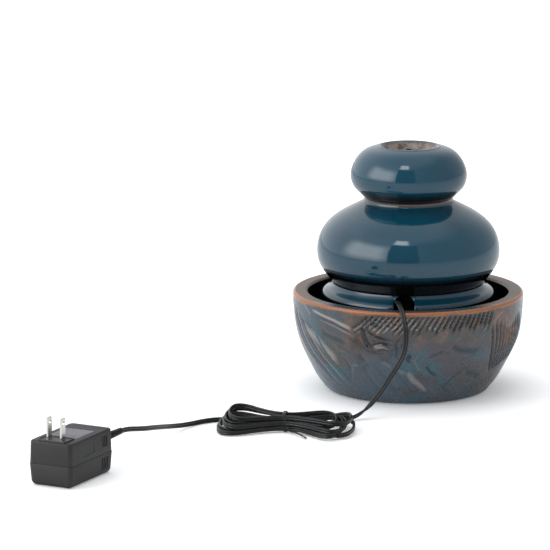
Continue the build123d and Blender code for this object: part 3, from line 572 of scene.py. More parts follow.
def bowlGlaze():
    # semi-matt slate glaze: teal pools in the carving, rust breaks on ridges and on the rim
    look = {"slate": (0.042, 0.066, 0.09, 1), "mauve": (0.05, 0.048, 0.06, 1),
            "teal": (0.024, 0.078, 0.1, 1), "pool": (0.0012, 0.0176, 0.0288, 1),
            "brown": (0.055, 0.044, 0.038, 1), "brownPool": (0.018, 0.012, 0.011, 1),
            "copper": (0.1725, 0.0782, 0.0368, 1), "copperRidge": (0.348, 0.232, 0.145, 1),
            "ridge": (0.272, 0.24, 0.224, 1), "rust": (0.26, 0.095, 0.035, 1),
            "taupe": (0.123, 0.09, 0.072, 1), "inside": (0.012, 0.008, 0.006, 1)}
    material, tree, shader = newMaterial("bowlGlaze")
    link = tree.links.new
    place = tree.nodes.new("ShaderNodeTexCoord")
    clouds = mottled(tree, First=look["slate"], Second=look["mauve"], Scale=15, Detail=5, From=0.42, To=0.62)
    tealClouds = mottled(tree, Second=look["teal"], Scale=26, Detail=6, From=0.5, To=0.66)
    brownClouds = mottled(tree, Second=look["brown"], Scale=20, Detail=8, From=0.52, To=0.74)
    speckle = mottled(tree, Second=look["pool"], Scale=420, Detail=2, From=0.6, To=0.74)
    link(clouds.outputs["Color"], tealClouds.inputs["First"])
    link(tealClouds.outputs["Color"], brownClouds.inputs["First"])
    link(brownClouds.outputs["Color"], speckle.inputs["First"])
    warmClouds = mottled(tree, First=look["brown"], Second=look["copper"], Scale=75, Detail=6,
                         From=0.47, To=0.68)
    warm = arithmetic(tree, "MULTIPLY", attribute(tree, "warm"), 0.8)
    ground = mixColour(tree, warm, speckle.outputs["Color"], warmClouds.outputs["Color"])
    # glaze runs off the ridges and gathers in the grooves
    carve = attribute(tree, "carve")
    darkerGlaze = ramp(tree, carve, 0.2, 1.1)
    raised = ramp(tree, arithmetic(tree, "MULTIPLY", carve, -1), 0.25, 1.5)
    inGrooves = mixColour(tree, warm, look["pool"], look["brownPool"])
    colour = mixColour(tree, darkerGlaze, ground, inGrooves)
    ridgeTint = mixColour(tree, warm, look["ridge"], look["copperRidge"])
    colour = mixColour(tree, raised, colour, ridgeTint)
    # a ragged edge to the rust and to the top of the rim
    wobble = tree.nodes.new("ShaderNodeTexNoise")
    wobble.inputs["Scale"].default_value = 55
    wobble.inputs["Detail"].default_value = 5
    link(place.outputs["Object"], wobble.inputs["Vector"])
    shift = arithmetic(tree, "MULTIPLY", arithmetic(tree, "SUBTRACT", wobble.outputs[0], 0.5), 1.1)
    rust = ramp(tree, arithmetic(tree, "ADD", attribute(tree, "rustBand"), shift), 0.35, 0.75)
    colour = mixColour(tree, rust, colour, look["rust"])
    top = ramp(tree, arithmetic(tree, "ADD", attribute(tree, "rimTop"), shift), 0.4, 0.7)
    colour = mixColour(tree, top, colour, look["taupe"])
    inside = attribute(tree, "insideGlaze")
    colour = mixColour(tree, inside, colour, look["inside"])
    link(colour, shader.inputs["Base Color"])
    rough = addGrain(tree, shader, Scale=260, Depth=0.00012, Smoothest=0.17, Roughest=0.32)
    rough = mixNumber(tree, darkerGlaze, rough, 0.1)
    rough = mixNumber(tree, top, rough, 0.5)
    rough = mixNumber(tree, inside, rough, 0.08)
    link(rough, shader.inputs["Roughness"])
    shader.inputs["IOR"].default_value = 1.52
    return material


def stoneGlaze():
    # glossy deep blue-green glaze: nearly black low under the stones, which is painted shade with some
    # pooled glaze; brown where it thins on the basin's rim, the same brown painting a highlight along the
    # neck; beige in the top basin
    # the edge brown is thin glaze on the basin's rim and also a painted highlight along the neck
    look = {"deep": (0.0014, 0.043, 0.074, 1), "dark": (0.001, 0.03, 0.052, 1),
            "darkerGlaze": (0.0035, 0.0028, 0.003, 1), "edge": (0.1, 0.07, 0.056, 1),
            "beige": (0.24, 0.19, 0.155, 1), "umber": (0.07, 0.048, 0.038, 1)}
    material, tree, shader = newMaterial("stoneGlaze")
    link = tree.links.new
    clouds = mottled(tree, First=look["deep"], Second=look["dark"], Scale=13, Detail=4, From=0.4, To=0.75)
    basin = mottled(tree, First=look["beige"], Second=look["umber"], Scale=160, Detail=7,
                    From=0.42, To=0.62)
    # near-black painted shade under the stones and on the skirt, with some pooled glaze
    colour = mixColour(tree, attribute(tree, "darkerGlaze"), clouds.outputs["Color"], look["darkerGlaze"])
    # brown thin glaze on the basin's rim, and a painted highlight along the neck between the stones
    colour = mixColour(tree, attribute(tree, "thinGlazeAndNeckHighlight"), colour, look["edge"])
    inBasin = attribute(tree, "basin")
    colour = mixColour(tree, inBasin, colour, basin.outputs["Color"])
    link(colour, shader.inputs["Base Color"])
    rough = addGrain(tree, shader, Scale=24, Depth=0.00025, Smoothest=0.03, Roughest=0.07)
    link(mixNumber(tree, inBasin, rough, 0.35), shader.inputs["Roughness"])
    shader.inputs["IOR"].default_value = 1.55
    return material


def cordVinyl():
    # dull black vinyl with faint drawing marks and a little dust
    material, tree, shader = newMaterial("cordVinyl")
    dust = mottled(tree, First=(0.004, 0.004, 0.0042, 1), Second=(0.009, 0.009, 0.0095, 1),
                   Scale=130, Detail=6, From=0.45, To=0.7)
    tree.links.new(dust.outputs["Color"], shader.inputs["Base Color"])
    rough = addGrain(tree, shader, Scale=900, Depth=0.00005, Smoothest=0.3, Roughest=0.44)
    tree.links.new(rough, shader.inputs["Roughness"])
    shader.inputs["Specular IOR Level"].default_value = 0.36
    return material


materials = {name: shopMaterial(name, look) for name, look in shopLooks.items()}
materials["bowlGlaze"] = bowlGlaze()
materials["stoneGlaze"] = stoneGlaze()
materials["cordVinyl"] = cordVinyl()
print("materials mixed:", len(materials))


# The adapter's place and size, which the pieces on it share.
adapter = {
    "place": (-0.2582, -0.3522), "turn": -22.9, "width": 0.0405, "length": 0.0697, "height": 0.0376,
    "parting": 0.0186, "backFace": 0.03425, "reliefOffset": 0.012, "reliefHeight": 0.028,
    "bladeLine": -0.02395,
}
adapterFrame = (Matrix.Translation((*adapter["place"], 0))
                @ Matrix.Rotation(math.radians(adapter["turn"]), 4, "Z"))


def adapterPoint(across, along, up):
    return adapterFrame @ Vector((across, along, up))


# the lead from the pump's gland, over the rim and down to the hank
pumpLeadPoints = [
    (0, -0.042, 0.0598),
    (-0.0003, -0.0424, 0.070),
    (-0.002, -0.0465, 0.081),
    (-0.0044, -0.056, 0.088),
    (-0.006, -0.069, 0.091),
    (-0.006, -0.083, 0.0952),
    (-0.0036, -0.097, 0.0962),
    (0.0002, -0.1085, 0.092),
    (0.003, -0.114, 0.082),
    (0.0044, -0.1155, 0.070),
    (0.003, -0.1165, 0.058),
    (-0.0016, -0.1185, 0.0475),
    (-0.008, -0.1208, 0.038),
    (-0.0145, -0.1225, 0.0275),
    (-0.0215, -0.124, 0.0175),
    (-0.029, -0.1265, 0.009),
    (-0.037, -0.1315, 0.0036),
    (-0.0445, -0.1395, 0.0024),
    (-0.052, -0.151, 0.0025),
]

# the lead from the adapter's strain relief to the hank
adapterLeadPoints = [
    (-0.22293, -0.29953, 0.028),
    (-0.2176, -0.287, 0.0264),
    (-0.2116, -0.2735, 0.0233),
    (-0.206, -0.259, 0.0203),
    (-0.202, -0.243, 0.0172),
    (-0.1983, -0.226, 0.0136),
    (-0.1946, -0.209, 0.0099),
    (-0.1902, -0.193, 0.0065),
    (-0.1844, -0.1785, 0.0038),
    (-0.177, -0.166, 0.0024),
    (-0.168, -0.1558, 0.0024),
    (-0.1575, -0.1494, 0.0024),
    (-0.145, -0.1486, 0.0025),
]

# the flat lead: the radius of each of its two cores, half the web between them, and the ring spacing
cord = {"core": 0.0011, "web": 0.00062, "ringStep": 0.0023}

# each turn is a bow: a left and a right loop that pass through the tie in the middle
hank = {
    "tieX": -0.096, "tieY": -0.1753,
    # through the tie: (y from the tie's middle, height), far strands run left and near strands run right
    "farSlots": [(0.0022, 0.0036), (0.0045, 0.0082), (0.0022, 0.0083), (0.0045, 0.0128),
                 (0.0021, 0.013), (0.0046, 0.0037)],
    "nearSlots": [(-0.0045, 0.0036), (-0.0022, 0.0037), (-0.0045, 0.0082), (-0.0023, 0.0083),
                  (-0.0044, 0.0128)],
    # loops: reach from the tie, how far they bulge to the far and near side, height at each
    "leftLoops": [(0.0590, 0.0215, 0.0260, 0.0030, 0.0024), (0.0575, 0.0235, 0.0225, 0.0085, 0.0025),
                  (0.0540, 0.0200, 0.0245, 0.0120, 0.0068), (0.0525, 0.0240, 0.0190, 0.0160, 0.0072),
                  (0.0490, 0.0225, 0.0150, 0.0205, 0.0112)],
    "rightLoops": [(0.0600, 0.0225, 0.0300, 0.0070, 0.0024), (0.0500, 0.0150, 0.0400, 0.0120, 0.0025),
                   (0.0530, 0.0190, 0.0345, 0.0075, 0.0068), (0.0445, 0.0205, 0.0200, 0.0118, 0.0070),
                   (0.0575, 0.0240, 0.0235, 0.0125, 0.0115)],
    "steps": 8,
}


def loopPoints(side, loop, farSlot, nearSlot):
    # one loop of the bow, from the far slot round to the near slot
    reach, farBulge, nearBulge, farHeight, nearHeight = loop
    points = []
    for step in range(1, hank["steps"]):
        angle = math.pi * step / hank["steps"]
        out = math.sin(angle) ** 2
        bulge, slot = (farBulge, farSlot) if math.cos(angle) > 0 else (nearBulge, nearSlot)
        spread = math.cos(angle) * (abs(slot[0]) + 2.45 * bulge * out)
        lobeHeight = farHeight + (nearHeight - farHeight) * (1 - math.cos(angle)) / 2
        points.append((hank["tieX"] + side * reach * math.sin(angle), hank["tieY"] + spread,
                       slot[1] * (1 - out) + lobeHeight * out))
    return points


def slotPoint(slot):
    return (hank["tieX"], hank["tieY"] + slot[0], slot[1])


def hankPoints():
    points = []
    for turn, (leftLoop, rightLoop) in enumerate(zip(hank["leftLoops"], hank["rightLoops"])):
        farIn, farOut = hank["farSlots"][turn:turn + 2]
        near = hank["nearSlots"][turn]
        points.append(slotPoint(farIn))
        points += loopPoints(-1, leftLoop, farIn, near)
        points.append(slotPoint(near))
        points += reversed(loopPoints(1, rightLoop, farOut, near))
    points.append(slotPoint(hank["farSlots"][-1]))
    return points


def twinSection(halfCore, web):
    # two round cores side by side, with a groove between them
    section = []
    for side, first in ((1, -115), (-1, 65)):
        for step in range(6):
            angle = math.radians(first + 46 * step)
            section.append((side * halfCore + halfCore * math.cos(angle), halfCore * math.sin(angle)))
        section.append((0, side * web))
    return section


def between(places, along, vectors):
    # the vectors read off at new places along the line
    columns = [np.interp(places, along, [vector[axis] for vector in vectors]) for axis in range(3)]
    return [Vector(row) for row in zip(*columns)]


def makeCord():
    toHank = [(-0.064, -0.1625, 0.0031), (-0.079, -0.1700, 0.0034)]
    fromHank = [(-0.112, -0.1640, 0.0036), (-0.128, -0.1545, 0.0028)]
    reliefRoot = adapterPoint(adapter["reliefOffset"], adapter["backFace"], adapter["reliefHeight"])
    route = (pumpLeadPoints + toHank + hankPoints() + fromHank
             + adapterLeadPoints[::-1] + [tuple(reliefRoot)])
    fineness = 10
    line = splineLine(route, fineness)
    # the cord lies flat over the rim and stands on edge from the floor on
    flatUntil, onEdgeFrom = 12, 18
    ways = []
    for i in range(len(line)):
        along = i / (len(line) - 1) * (len(route) - 2)
        edge = min(max((along - flatUntil) / (onEdgeFrom - flatUntil), 0), 1)
        ways.append(Vector((1 - edge, 0, edge)).normalized())
    steps = [(b - a).length for a, b in zip(line, line[1:])]
    along = np.concatenate(([0], np.cumsum(steps)))
    evenly = np.linspace(0, along[-1], int(along[-1] / cord["ringStep"]))
    line, ways = between(evenly, along, line), between(evenly, along, ways)
    piece = sweepSection("mainsCord", line, ways, twinSection(cord["core"], cord["web"]))
    finishPiece(piece, 60, "cordVinyl", "root", "cord_vinyl",
                "cord_pump_lead", "cord_hank", "cord_adapter_lead")
    return piece, line, along[-1]


bowl = {
    "outside": [(71, 0.8), (86.75, 23.0), (98.9, 52.4), (102.5, 88.8)],
    "inside": [(89, 88.8), (89.4, 49.7), (72.5, 16.8), (65, 9.8)],
    "top": 88.8, "rimOutside": 102.45, "rimInside": 89, "rimRound": 2.6, "foot": 0.8, "floor": 9.8,
    "steps": 560,
    "lumps": 0.0005, "largestRadius": 0.10236,
}


def bowlOutline():
    edge, top, foot, floor = bowl["rimRound"], bowl["top"], bowl["foot"], bowl["floor"]
    outer = [spot for spot in smoothRun(bowl["outside"], (1, 0.8), (0.04, 1), 104) if spot[1] < top - edge]
    inner = [spot for spot in smoothRun(bowl["inside"], (0, -1), (-1, 0), 30) if spot[1] < top - edge]
    outline = [(0, foot), (40, foot), (66, foot), (70.2, foot)] + outer[1:]
    outline += arcRun((bowl["rimOutside"] - edge, top - edge), edge, 4, 90, 8)
    outline += [(97, top), (94.5, top)] + arcRun((bowl["rimInside"] + edge, top - edge), edge, 90, 178, 7)
    return inMetres(outline + inner + [(63, floor), (40, floor), (0, floor)])


# Strokes of the carving, each (places along it, width, depth). A place is the angle round the
# bowl in degrees from the lead's side and the height in mm; a ridge has a negative depth.

def carvedComb():
    strokes = []
    for k in range(25):
        start = -17 + 2.75 * k
        lean = math.radians(44 + 1.1 * k)
        length = 22 + 3.5 * math.sin(1.9 * k) - 0.25 * k
        foot = 85 - length * math.sin(lean)
        drift = length * math.cos(lean) / 1.79
        strokes.append(([(start + 0.6, 86), (start - 0.42 * drift, 85 - 0.5 * (85 - foot)),
                         (start - drift, foot)], 2.0, 1.5))
        strokes.append(([(start + 1.4, 85.5), (start + 1.4 - 0.45 * drift, 85 - 0.45 * (85 - foot)),
                         (start + 1.2 - 1.25 * drift, foot - 4)], 1.4, -0.75))
    return strokes


def carvedLeaf():
    return [
        ([(-17, 82), (-18.3, 76), (-17.2, 70.5), (-13.7, 67), (-7.6, 64), (-3, 61.5)], 2.1, 1.25),
        ([(-20.5, 75), (-19.5, 66), (-17.5, 59), (-14.5, 54)], 4.6, 1.7),
        ([(-15.5, 58.5), (-10, 60.5), (-5, 58.5)], 2.6, 1.3),
        ([(-14.5, 55.5), (-10, 57.4), (-5.5, 55)], 1.8, -0.9),
        ([(-13.5, 52.5), (-9.5, 54.8), (-5.5, 52)], 1.6, 0.7),
        ([(-1, 67), (-3.2, 58), (-3.5, 49), (0, 40)], 2.2, 0.7),
    ]


def carvedRidges():
    strokes = [
        ([(-54, 82.5), (-46, 80), (-36, 77), (-29, 72.5), (-23, 68)], 2.3, -1.35),
        ([(-50, 78), (-37, 73.5), (-29, 69), (-23, 64.8)], 2.6, 0.75),
        ([(-62, 86), (-56.5, 80), (-53, 74)], 2.0, -0.9),
        ([(60, 85), (52, 77), (44, 70), (37, 64)], 1.8, -0.8),
        ([(27, 84), (22, 74), (12, 61), (6, 52)], 1.7, -0.5),
        ([(36, 82), (30, 66), (22, 52), (17, 43)], 1.7, -0.55),
        ([(44, 72), (38, 62), (30, 55)], 1.6, 0.5),
        ([(30, 68), (24, 55), (14, 42)], 1.5, -0.4),
        ([(14, 70), (8, 60), (4, 54)], 1.5, -0.45),
    ]
    for k in range(6):
        # long lines that follow the left side of the bowl
        shift = 4.2 * k
        strokes.append(([(-78 + shift, 84 - 3 * k), (-71 + shift, 62), (-64 + shift, 41),
                         (-55 + shift, 24), (-46 + shift, 12)], 1.7, 0.85 if k % 2 else -0.75))
    for k in range(9):
        # faint fan on the lower middle
        start = -31 + 5.1 * k + math.sin(2.3 * k)
        strokes.append(([(start, 47 - 1.3 * k + 3 * math.sin(1.7 * k)), (start + 4.5, 30),
                         (start + 11 + math.sin(3 * k), 14), (start + 15, 7)], 2.6,
                        0.5 if k % 2 else -0.34))
    return strokes


def carvedReeds():
    strokes = []
    for k in range(10):
        top = 73 + 5 * math.sin(0.9 * k + 0.5)
        strokes.append(([(49 + 3.1 * k, top), (51.5 + 2.95 * k, 52), (54.5 + 2.2 * k, 35),
                         (59 + 1.2 * k, 19 + 1.1 * k)], 1.7, 1.3))
        strokes.append(([(50.6 + 3.1 * k, top - 2), (53 + 2.95 * k, 52), (55.6 + 2.2 * k, 34),
                         (59.6 + 1.2 * k, 22 + 1.1 * k)], 1.25, -0.8))
    for k in range(5):
        # crossed scratches low on the right
        strokes.append(([(41 + 4.2 * k, 13 + 0.8 * k), (47 + 4.2 * k, 19 + 0.8 * k)], 1.1, 0.6))
        strokes.append(([(47 + 4.2 * k, 12 + 0.8 * k), (41 + 4.2 * k, 18 + 0.8 * k)], 1.1, 0.5))
    return strokes


def carvedSwirls():
    return [
        ([(4, 51), (2.5, 46), (4.5, 41)], 2.6, 1.3),
        ([(9, 52), (6, 45), (8.5, 37), (14, 31)], 1.9, -0.6),
        ([(13, 46), (20, 52), (27, 50)], 2.4, 0.8),
        ([(12, 40), (15, 33), (21, 27)], 2.6, 1.0),
        ([(23, 15), (28, 24), (34, 33), (42, 37)], 2.3, 0.8),
        ([(21, 22), (26, 14), (33, 9)], 1.9, 0.6),
        ([(30, 42), (38, 46), (47, 45)], 2.4, 0.55),
        ([(24, 58), (31, 52), (39, 50), (46, 54)], 5.5, 0.9),
        ([(2, 36), (6, 26), (13, 18), (22, 13)], 6, -0.8),
        ([(-62, 66), (-50, 58), (-40, 44), (-36, 30)], 8, -0.9),
        ([(-46, 64), (-36, 60), (-26, 56)], 5, 0.8),
        ([(-24, 50), (-20, 40), (-20, 28)], 6, 0.8),
        ([(36, 30), (44, 27), (50, 20)], 6, 0.8),
        ([(-12, 46), (-4, 36), (6, 30)], 5, -0.6),
        ([(-38, 56), (-33, 51), (-27, 48)], 1.8, -0.5),
        ([(-33, 46), (-30, 36), (-31, 26), (-36, 14)], 2.2, 0.6),
        ([(-30, 37), (-22, 39), (-16, 45)], 2.4, -0.6),
        ([(-35, 30), (-30, 33), (-28, 38)], 1.8, 0.7),
    ]


def reliefField(angles, heights, radii, strokes):
    # depth of the grooves and height of the ridges at every point, in mm
    grooves, ridges = np.zeros(len(angles)), np.zeros(len(angles))
    for places, width, depth in strokes:
        parts = len(places) - 1
        for i in range(parts):
            (fromAngle, fromHeight), (toAngle, toHeight) = places[i], places[i + 1]
            perDegree = radii * math.pi / 180
            across = ((angles - fromAngle + 180) % 360 - 180) * perDegree
            up = heights - fromHeight
            runAcross = (toAngle - fromAngle) * perDegree
            runUp = toHeight - fromHeight
            share = np.clip((across * runAcross + up * runUp) / (runAcross ** 2 + runUp ** 2), 0, 1)
            away = np.hypot(across - share * runAcross, up - share * runUp)
            along = (i + share) / parts
            taper = np.clip(np.minimum(along / 0.12, (1 - along) / 0.3), 0.12, 1)
            shape = np.clip(1 - (away / width) ** 2, 0, 1) ** 2 * taper * abs(depth)
            if depth > 0:
                np.maximum(grooves, shape, out=grooves)
            else:
                np.maximum(ridges, shape, out=ridges)
    return grooves, ridges


def makeBowl():
    piece = spinOutline("carvedBowl", bowlOutline(), bowl["steps"])
    spots = pointsOf(piece)
    facing = np.zeros(len(piece.data.vertices) * 3)
    piece.data.vertices.foreach_get("normal", facing)
    facing = facing.reshape(-1, 3)
    radii = np.hypot(spots[:, 0], spots[:, 1])
    angles = np.degrees(np.arctan2(spots[:, 0], -spots[:, 1]))
    heights = spots[:, 2] * 1000
    outward = (facing[:, 0] * spots[:, 0] + facing[:, 1] * spots[:, 1]) / np.maximum(radii, 0.001)
    outside = (outward > 0.2) & (heights > 1.2) & (radii > 0.0705)
    strokes = carvedComb() + carvedLeaf() + carvedRidges() + carvedReeds() + carvedSwirls()
    # the same carving goes round the far side
    farSide = [([(angle + 180, height) for angle, height in places], width, depth)
               for places, width, depth in strokes]
    grooves, ridges = reliefField(angles, heights, radii * 1000, strokes + farSide)
    quiet = np.clip((87.2 - heights) / 3, 0, 1) * np.clip((heights - 1) / 3, 0, 1) * outside
    turn = np.radians(angles)
    lumps = (np.sin(3 * turn + heights / 17) * 0.5 + np.sin(7 * turn - heights / 11 + 1.3) * 0.35
             + np.sin(13 * turn + heights / 7 + 0.4) * 0.2 + np.sin(2 * turn + heights / 29 + 2) * 0.4)
    move = (ridges - grooves) * 0.001 + lumps * bowl["lumps"]
    spots += facing * (move * quiet)[:, None]
    radiusNow = np.hypot(spots[:, 0], spots[:, 1])
    shrink = np.minimum(1, bowl["largestRadius"] / np.maximum(radiusNow, 0.001))
    spots[:, :2] *= shrink[:, None]
    piece.data.vertices.foreach_set("co", spots.ravel())
    piece.data.update()
    storeOnPoints(piece, "carve", (grooves - ridges * 1.1) * quiet)
    # warm ground where the comb and the reeds are cut, on both sides of the bowl
    fromLead = (angles + 90) % 180 - 90
    turned = np.abs(fromLead - 22)
    reeds = np.clip((16 - np.abs(turned - 40)) / 8, 0, 1) * np.clip((heights - 40) / 18, 0, 1)
    comb = np.clip((38 - turned) / 10, 0, 1) * np.clip((heights - 50) / 20, 0, 1)
    storeOnPoints(piece, "warm", np.maximum(comb, reeds) * outside)
    storeOnPoints(piece, "rustBand", np.clip(1 - (87.8 - heights) / 5.5, 0, 1) * outside)
    storeOnPoints(piece, "rimTop", (facing[:, 2] > 0.6) * np.clip((101.3 - radii * 1000) / 2.2, 0, 1)
                  * (heights > 86) * np.clip((np.abs(fromLead) - 22) / 40, 0.12, 1))
    storeOnPoints(piece, "insideGlaze", ((outward < -0.3) | (heights < 30) & (facing[:, 2] > 0.3))
                  & (heights < 87.5))
    finishPiece(piece, 50, "bowlGlaze", "root", "bowl_glaze", "bowl")


stones = {
    "skirtFoot": (60, 9.8), "skirtLip": (77, 84.3),
    "ledge": [(77, 84.3), (75.8, 88.74), (69.9, 92.7), (67.5, 96.3)],
    "lowerStone": [(67.5, 96.3), (78.6, 112.6), (81.2, 125.9), (75, 145.4), (56.6, 160.5), (42, 168.1)],
    "upperStone": [(41.8, 174.9), (48.5, 181.9), (51.6, 192.9), (48.7, 203.4), (39.4, 214.1),
                   (28.4, 217.9)],
    "basin": [(22.6, 214.8), (20.4, 211.8), (17, 211.8), (9.45, 211.8), (9.45, 205.8)],
    "steps": 340,
    # the slot in the skirt that the lead leaves by
    "slotHalf": 9.0, "slotShoulder": 91.1, "slotTop": 96.6, "slotRound": 1.5,
    "drainRadius": 8.0,
}


def evenLine(start, end, count):
    return [(start[0] + (end[0] - start[0]) * i / count, start[1] + (end[1] - start[1]) * i / count)
            for i in range(count)]


def stackSurface():
    # the outside from the skirt's foot to the rim of the basin
    lip = stones["skirtLip"]
    outline = evenLine(stones["skirtFoot"], (lip[0] - 0.3, lip[1] - 1.2), 30)
    outline += [(lip[0] - 0.2, lip[1] - 0.8), (lip[0] - 0.04, lip[1] - 0.2)]
    outline += smoothRun(stones["ledge"], (0.1, 1), (-0.35, 1), 26)[1:-1]
    outline += smoothRun(stones["lowerStone"], (0.55, 1), (-1, 0.55), 74)
    outline += throughThree((42, 168.1), (39.6, 171.5), (41.8, 174.9), 14)[1:-1]
    outline += smoothRun(stones["upperStone"], (1, 1.1), (-1, 0.22), 62)
    outline += throughThree((28.4, 217.9), (25.8, 218.38), (24.4, 217.4), 8)[1:]
    return outline


def stackHollow():
    # the inside, from the hole in the basin's floor down to the skirt's foot
    upper = smoothRun([(33.6, 171.5), (45.6, 192.9), (30.4, 207.8), (20.4, 205.8)], (0.6, 1), (-1, 0), 16)
    lower = smoothRun([(61.5, 96.3), (75.2, 125.9), (53.6, 154.5), (33.6, 171.5)], (0.5, 1), (-0.5, 1), 20)
    return upper[::-1] + lower[::-1][1:] + [(70.5, 81.3), (62.5, 45.5), (54.5, 9.8)]


def slotCutter():
    # a plug of the slot's shape that flares where it passes through the skirt's outer face
    half, shoulder, top = stones["slotHalf"], stones["slotShoulder"], stones["slotTop"]
    edge = stones["slotRound"]
    surface = [spot for spot in stackSurface() if spot[1] < 118]
    heights, radii = [spot[1] for spot in surface], [spot[0] for spot in surface]
    arch = throughThree((-half, shoulder), (0, top), (half, shoulder), 15)
    side = [(-half, z) for z in np.linspace(-4, shoulder - 0.6, 40)]
    outline = side + arch + [(-x, z) for x, z in reversed(side)]
    centre = (0, shoulder - 14)
    # rings of the plug, each (how far in from the skirt's face, how much wider than the slot)
    rings = [(-9, edge)] + [(edge - edge * math.cos(a), edge - edge * math.sin(a))
                            for a in np.radians(np.linspace(0, 90, 8))] + [(26, 0)]
    skin = []
    for inwards, wider in rings:
        ring = []
        for x, z in outline:
            away = Vector((x, 0 if z < shoulder else z - centre[1])).normalized()
            if abs(x) >= half - 0.01:
                away = Vector((math.copysign(1, x), 0))
            wide = (x + away.x * wider, z + away.y * wider)
            radius = float(np.interp(max(wide[1], 10), heights, radii))
            y = -math.sqrt(max(radius ** 2 - wide[0] ** 2, 1)) + inwards
            ring.append((wide[0] * 0.001, y * 0.001, wide[1] * 0.001))
        skin.append(ring)
    return skinRings("slotCutter", skin, gap=0.0000001)


def drainCutters():
    cutters = []
    for place, turn in (((0, 0.07, 0.0098), (math.pi / 2, 0, 0)), ((0, 0, 0.0098), (0, math.pi / 2, 0))):
        clearSelection()
        depth = 0.06 if place[1] else 0.17
        bpy.ops.mesh.primitive_cylinder_add(vertices=48, radius=stones["drainRadius"] / 1000, depth=depth,
                                            location=place, rotation=turn)
        cutters.append(bpy.context.object)
        settle(cutters[-1])
    return cutters


def cutAway(piece, cutter):
    makeActive(piece)
    cut = piece.modifiers.new("cut", "BOOLEAN")
    cut.operation = "DIFFERENCE"
    cut.solver = "EXACT"
    cut.object = cutter
    bpy.ops.object.modifier_apply(modifier="cut")
    bpy.data.objects.remove(cutter)


def makeStones():
    outline = stackSurface() + stones["basin"] + stackHollow()
    piece = spinOutline("stoneStack", inMetres(outline + [outline[0]]), stones["steps"])
    for cutter in [slotCutter()] + drainCutters():
        cutAway(piece, cutter)
    spots = pointsOf(piece) * 1000
    radii = np.hypot(spots[:, 0], spots[:, 1])
    heights = spots[:, 2]
    # painted shade: the glaze is made almost black low under both stones and low on the skirt, where shade
    # falls, with some real pooling of the glaze there
    paintedShadeUnder = (np.clip((186 - heights) / 8, 0, 1) * (heights > 171) * (radii > 36)
             + np.clip((117 - heights) / 9, 0, 1) * (heights > 96.2) * (radii > 60)
             + np.clip((88.6 - heights) / 3, 0, 1) * (radii > 60))
    storeOnPoints(piece, "darkerGlaze", np.clip(paintedShadeUnder, 0, 1))
    # brown where the glaze thins on the basin's rim; along the neck between the stones, a painted highlight
    # standing in for the glazed fillet's reflection
    rim = np.clip(1 - np.abs(radii - 25.6) / 1.5, 0, 1) * (heights > 216)
    paintedNeckHighlight = np.clip(1 - np.abs(heights - 171.3) / 2, 0, 1) * (radii > 36)
    storeOnPoints(piece, "thinGlazeAndNeckHighlight", np.maximum(paintedNeckHighlight, rim) * 0.8)
    storeOnPoints(piece, "basin", np.clip((24.9 - radii) / 0.8, 0, 1) * (heights > 209))
    finishPiece(piece, 38, "stoneGlaze", "stack", "stone_glaze", "stone_stack")


adapterLook = {
    "corner": 4.0, "lowerDraft": 0.94, "upperDraft": 0.975, "bottomRound": 4.6, "topRound": 1.7, "wall": 2.2,
    "seam": 0.28, "step": 0.25, "ventWide": 1.4, "ventPitch": 3.0, "ventMiddle": 21.25,
    "lowerVents": (4, 5.0, 15.6), "upperVents": (3, 24.2, 33.6),
    "sideWalls": 6.6, "cavityCorner": 2.5, "plateWidth": 26.0, "plateLength": 16.0, "plateThick": 1.2,
}


def pickParts(piece, kind, wanted):
    # goes into edit mode with only the wanted points, edges or faces selected
    makeActive(piece)
    bpy.ops.object.mode_set(mode="EDIT")
    bpy.ops.mesh.select_mode(type=kind)
    bpy.ops.mesh.select_all(action="DESELECT")
    bpy.ops.object.mode_set(mode="OBJECT")
    mesh = piece.data
    for part in {"VERT": mesh.vertices, "EDGE": mesh.edges, "FACE": mesh.polygons}[kind]:
        part.select = wanted(part)
    bpy.ops.object.mode_set(mode="EDIT")


def bevelEdges(piece, wanted, offset, segments):
    pickParts(piece, "EDGE", lambda edge: wanted(*(piece.data.vertices[i].co for i in edge.vertices)))
    bpy.ops.mesh.bevel(offset=offset * 0.001, segments=segments, profile=0.5)
    bpy.ops.object.mode_set(mode="OBJECT")


def roundBlock(name, size, low, high, corner, cornerSteps=8):
    # an upright block with rounded corners; sizes in mm
    clearSelection()
    bpy.ops.mesh.primitive_cube_add(size=0.001, location=(0, 0, (low + high) / 2000))
    piece = bpy.context.object
    piece.name = name
    piece.scale = (size[0], size[1], high - low)
    settle(piece)
    bevelEdges(piece, lambda a, b: abs(a.z - b.z) > 0.0001, corner, cornerSteps)
    return piece


def taperEnd(piece, height, scale):
    pickParts(piece, "VERT", lambda vertex: abs(vertex.co.z - height * 0.001) < 0.00001)
    bpy.ops.transform.resize(value=(scale, 1 - (1 - scale) * 0.6, 1))
    bpy.ops.object.mode_set(mode="OBJECT")


def atHeight(height):
    return lambda a, b: max(abs(a.z - height * 0.001), abs(b.z - height * 0.001)) < 0.00001


def cutBlock(piece, middle, size, turn=0):
    clearSelection()
    bpy.ops.mesh.primitive_cube_add(size=0.001, location=[place * 0.001 for place in middle],
                                    rotation=(math.radians(turn), 0, 0))
    cutter = bpy.context.object
    cutter.scale = size
    settle(cutter)
    cutAway(piece, cutter)


def cutVents(piece, vents):
    count, low, high = vents
    side = adapter["width"] * 500
    for k in range(count):
        along = adapterLook["ventMiddle"] + (k - (count - 1) / 2) * adapterLook["ventPitch"]
        cutBlock(piece, (side, along, (low + high) / 2), (9, adapterLook["ventWide"], high - low))


def finishShell(piece, angle, finish, slotName, replaced):
    piece.matrix_world = adapterFrame
    settle(piece)
    return finishPiece(piece, angle, finish, "root", slotName, replaced)


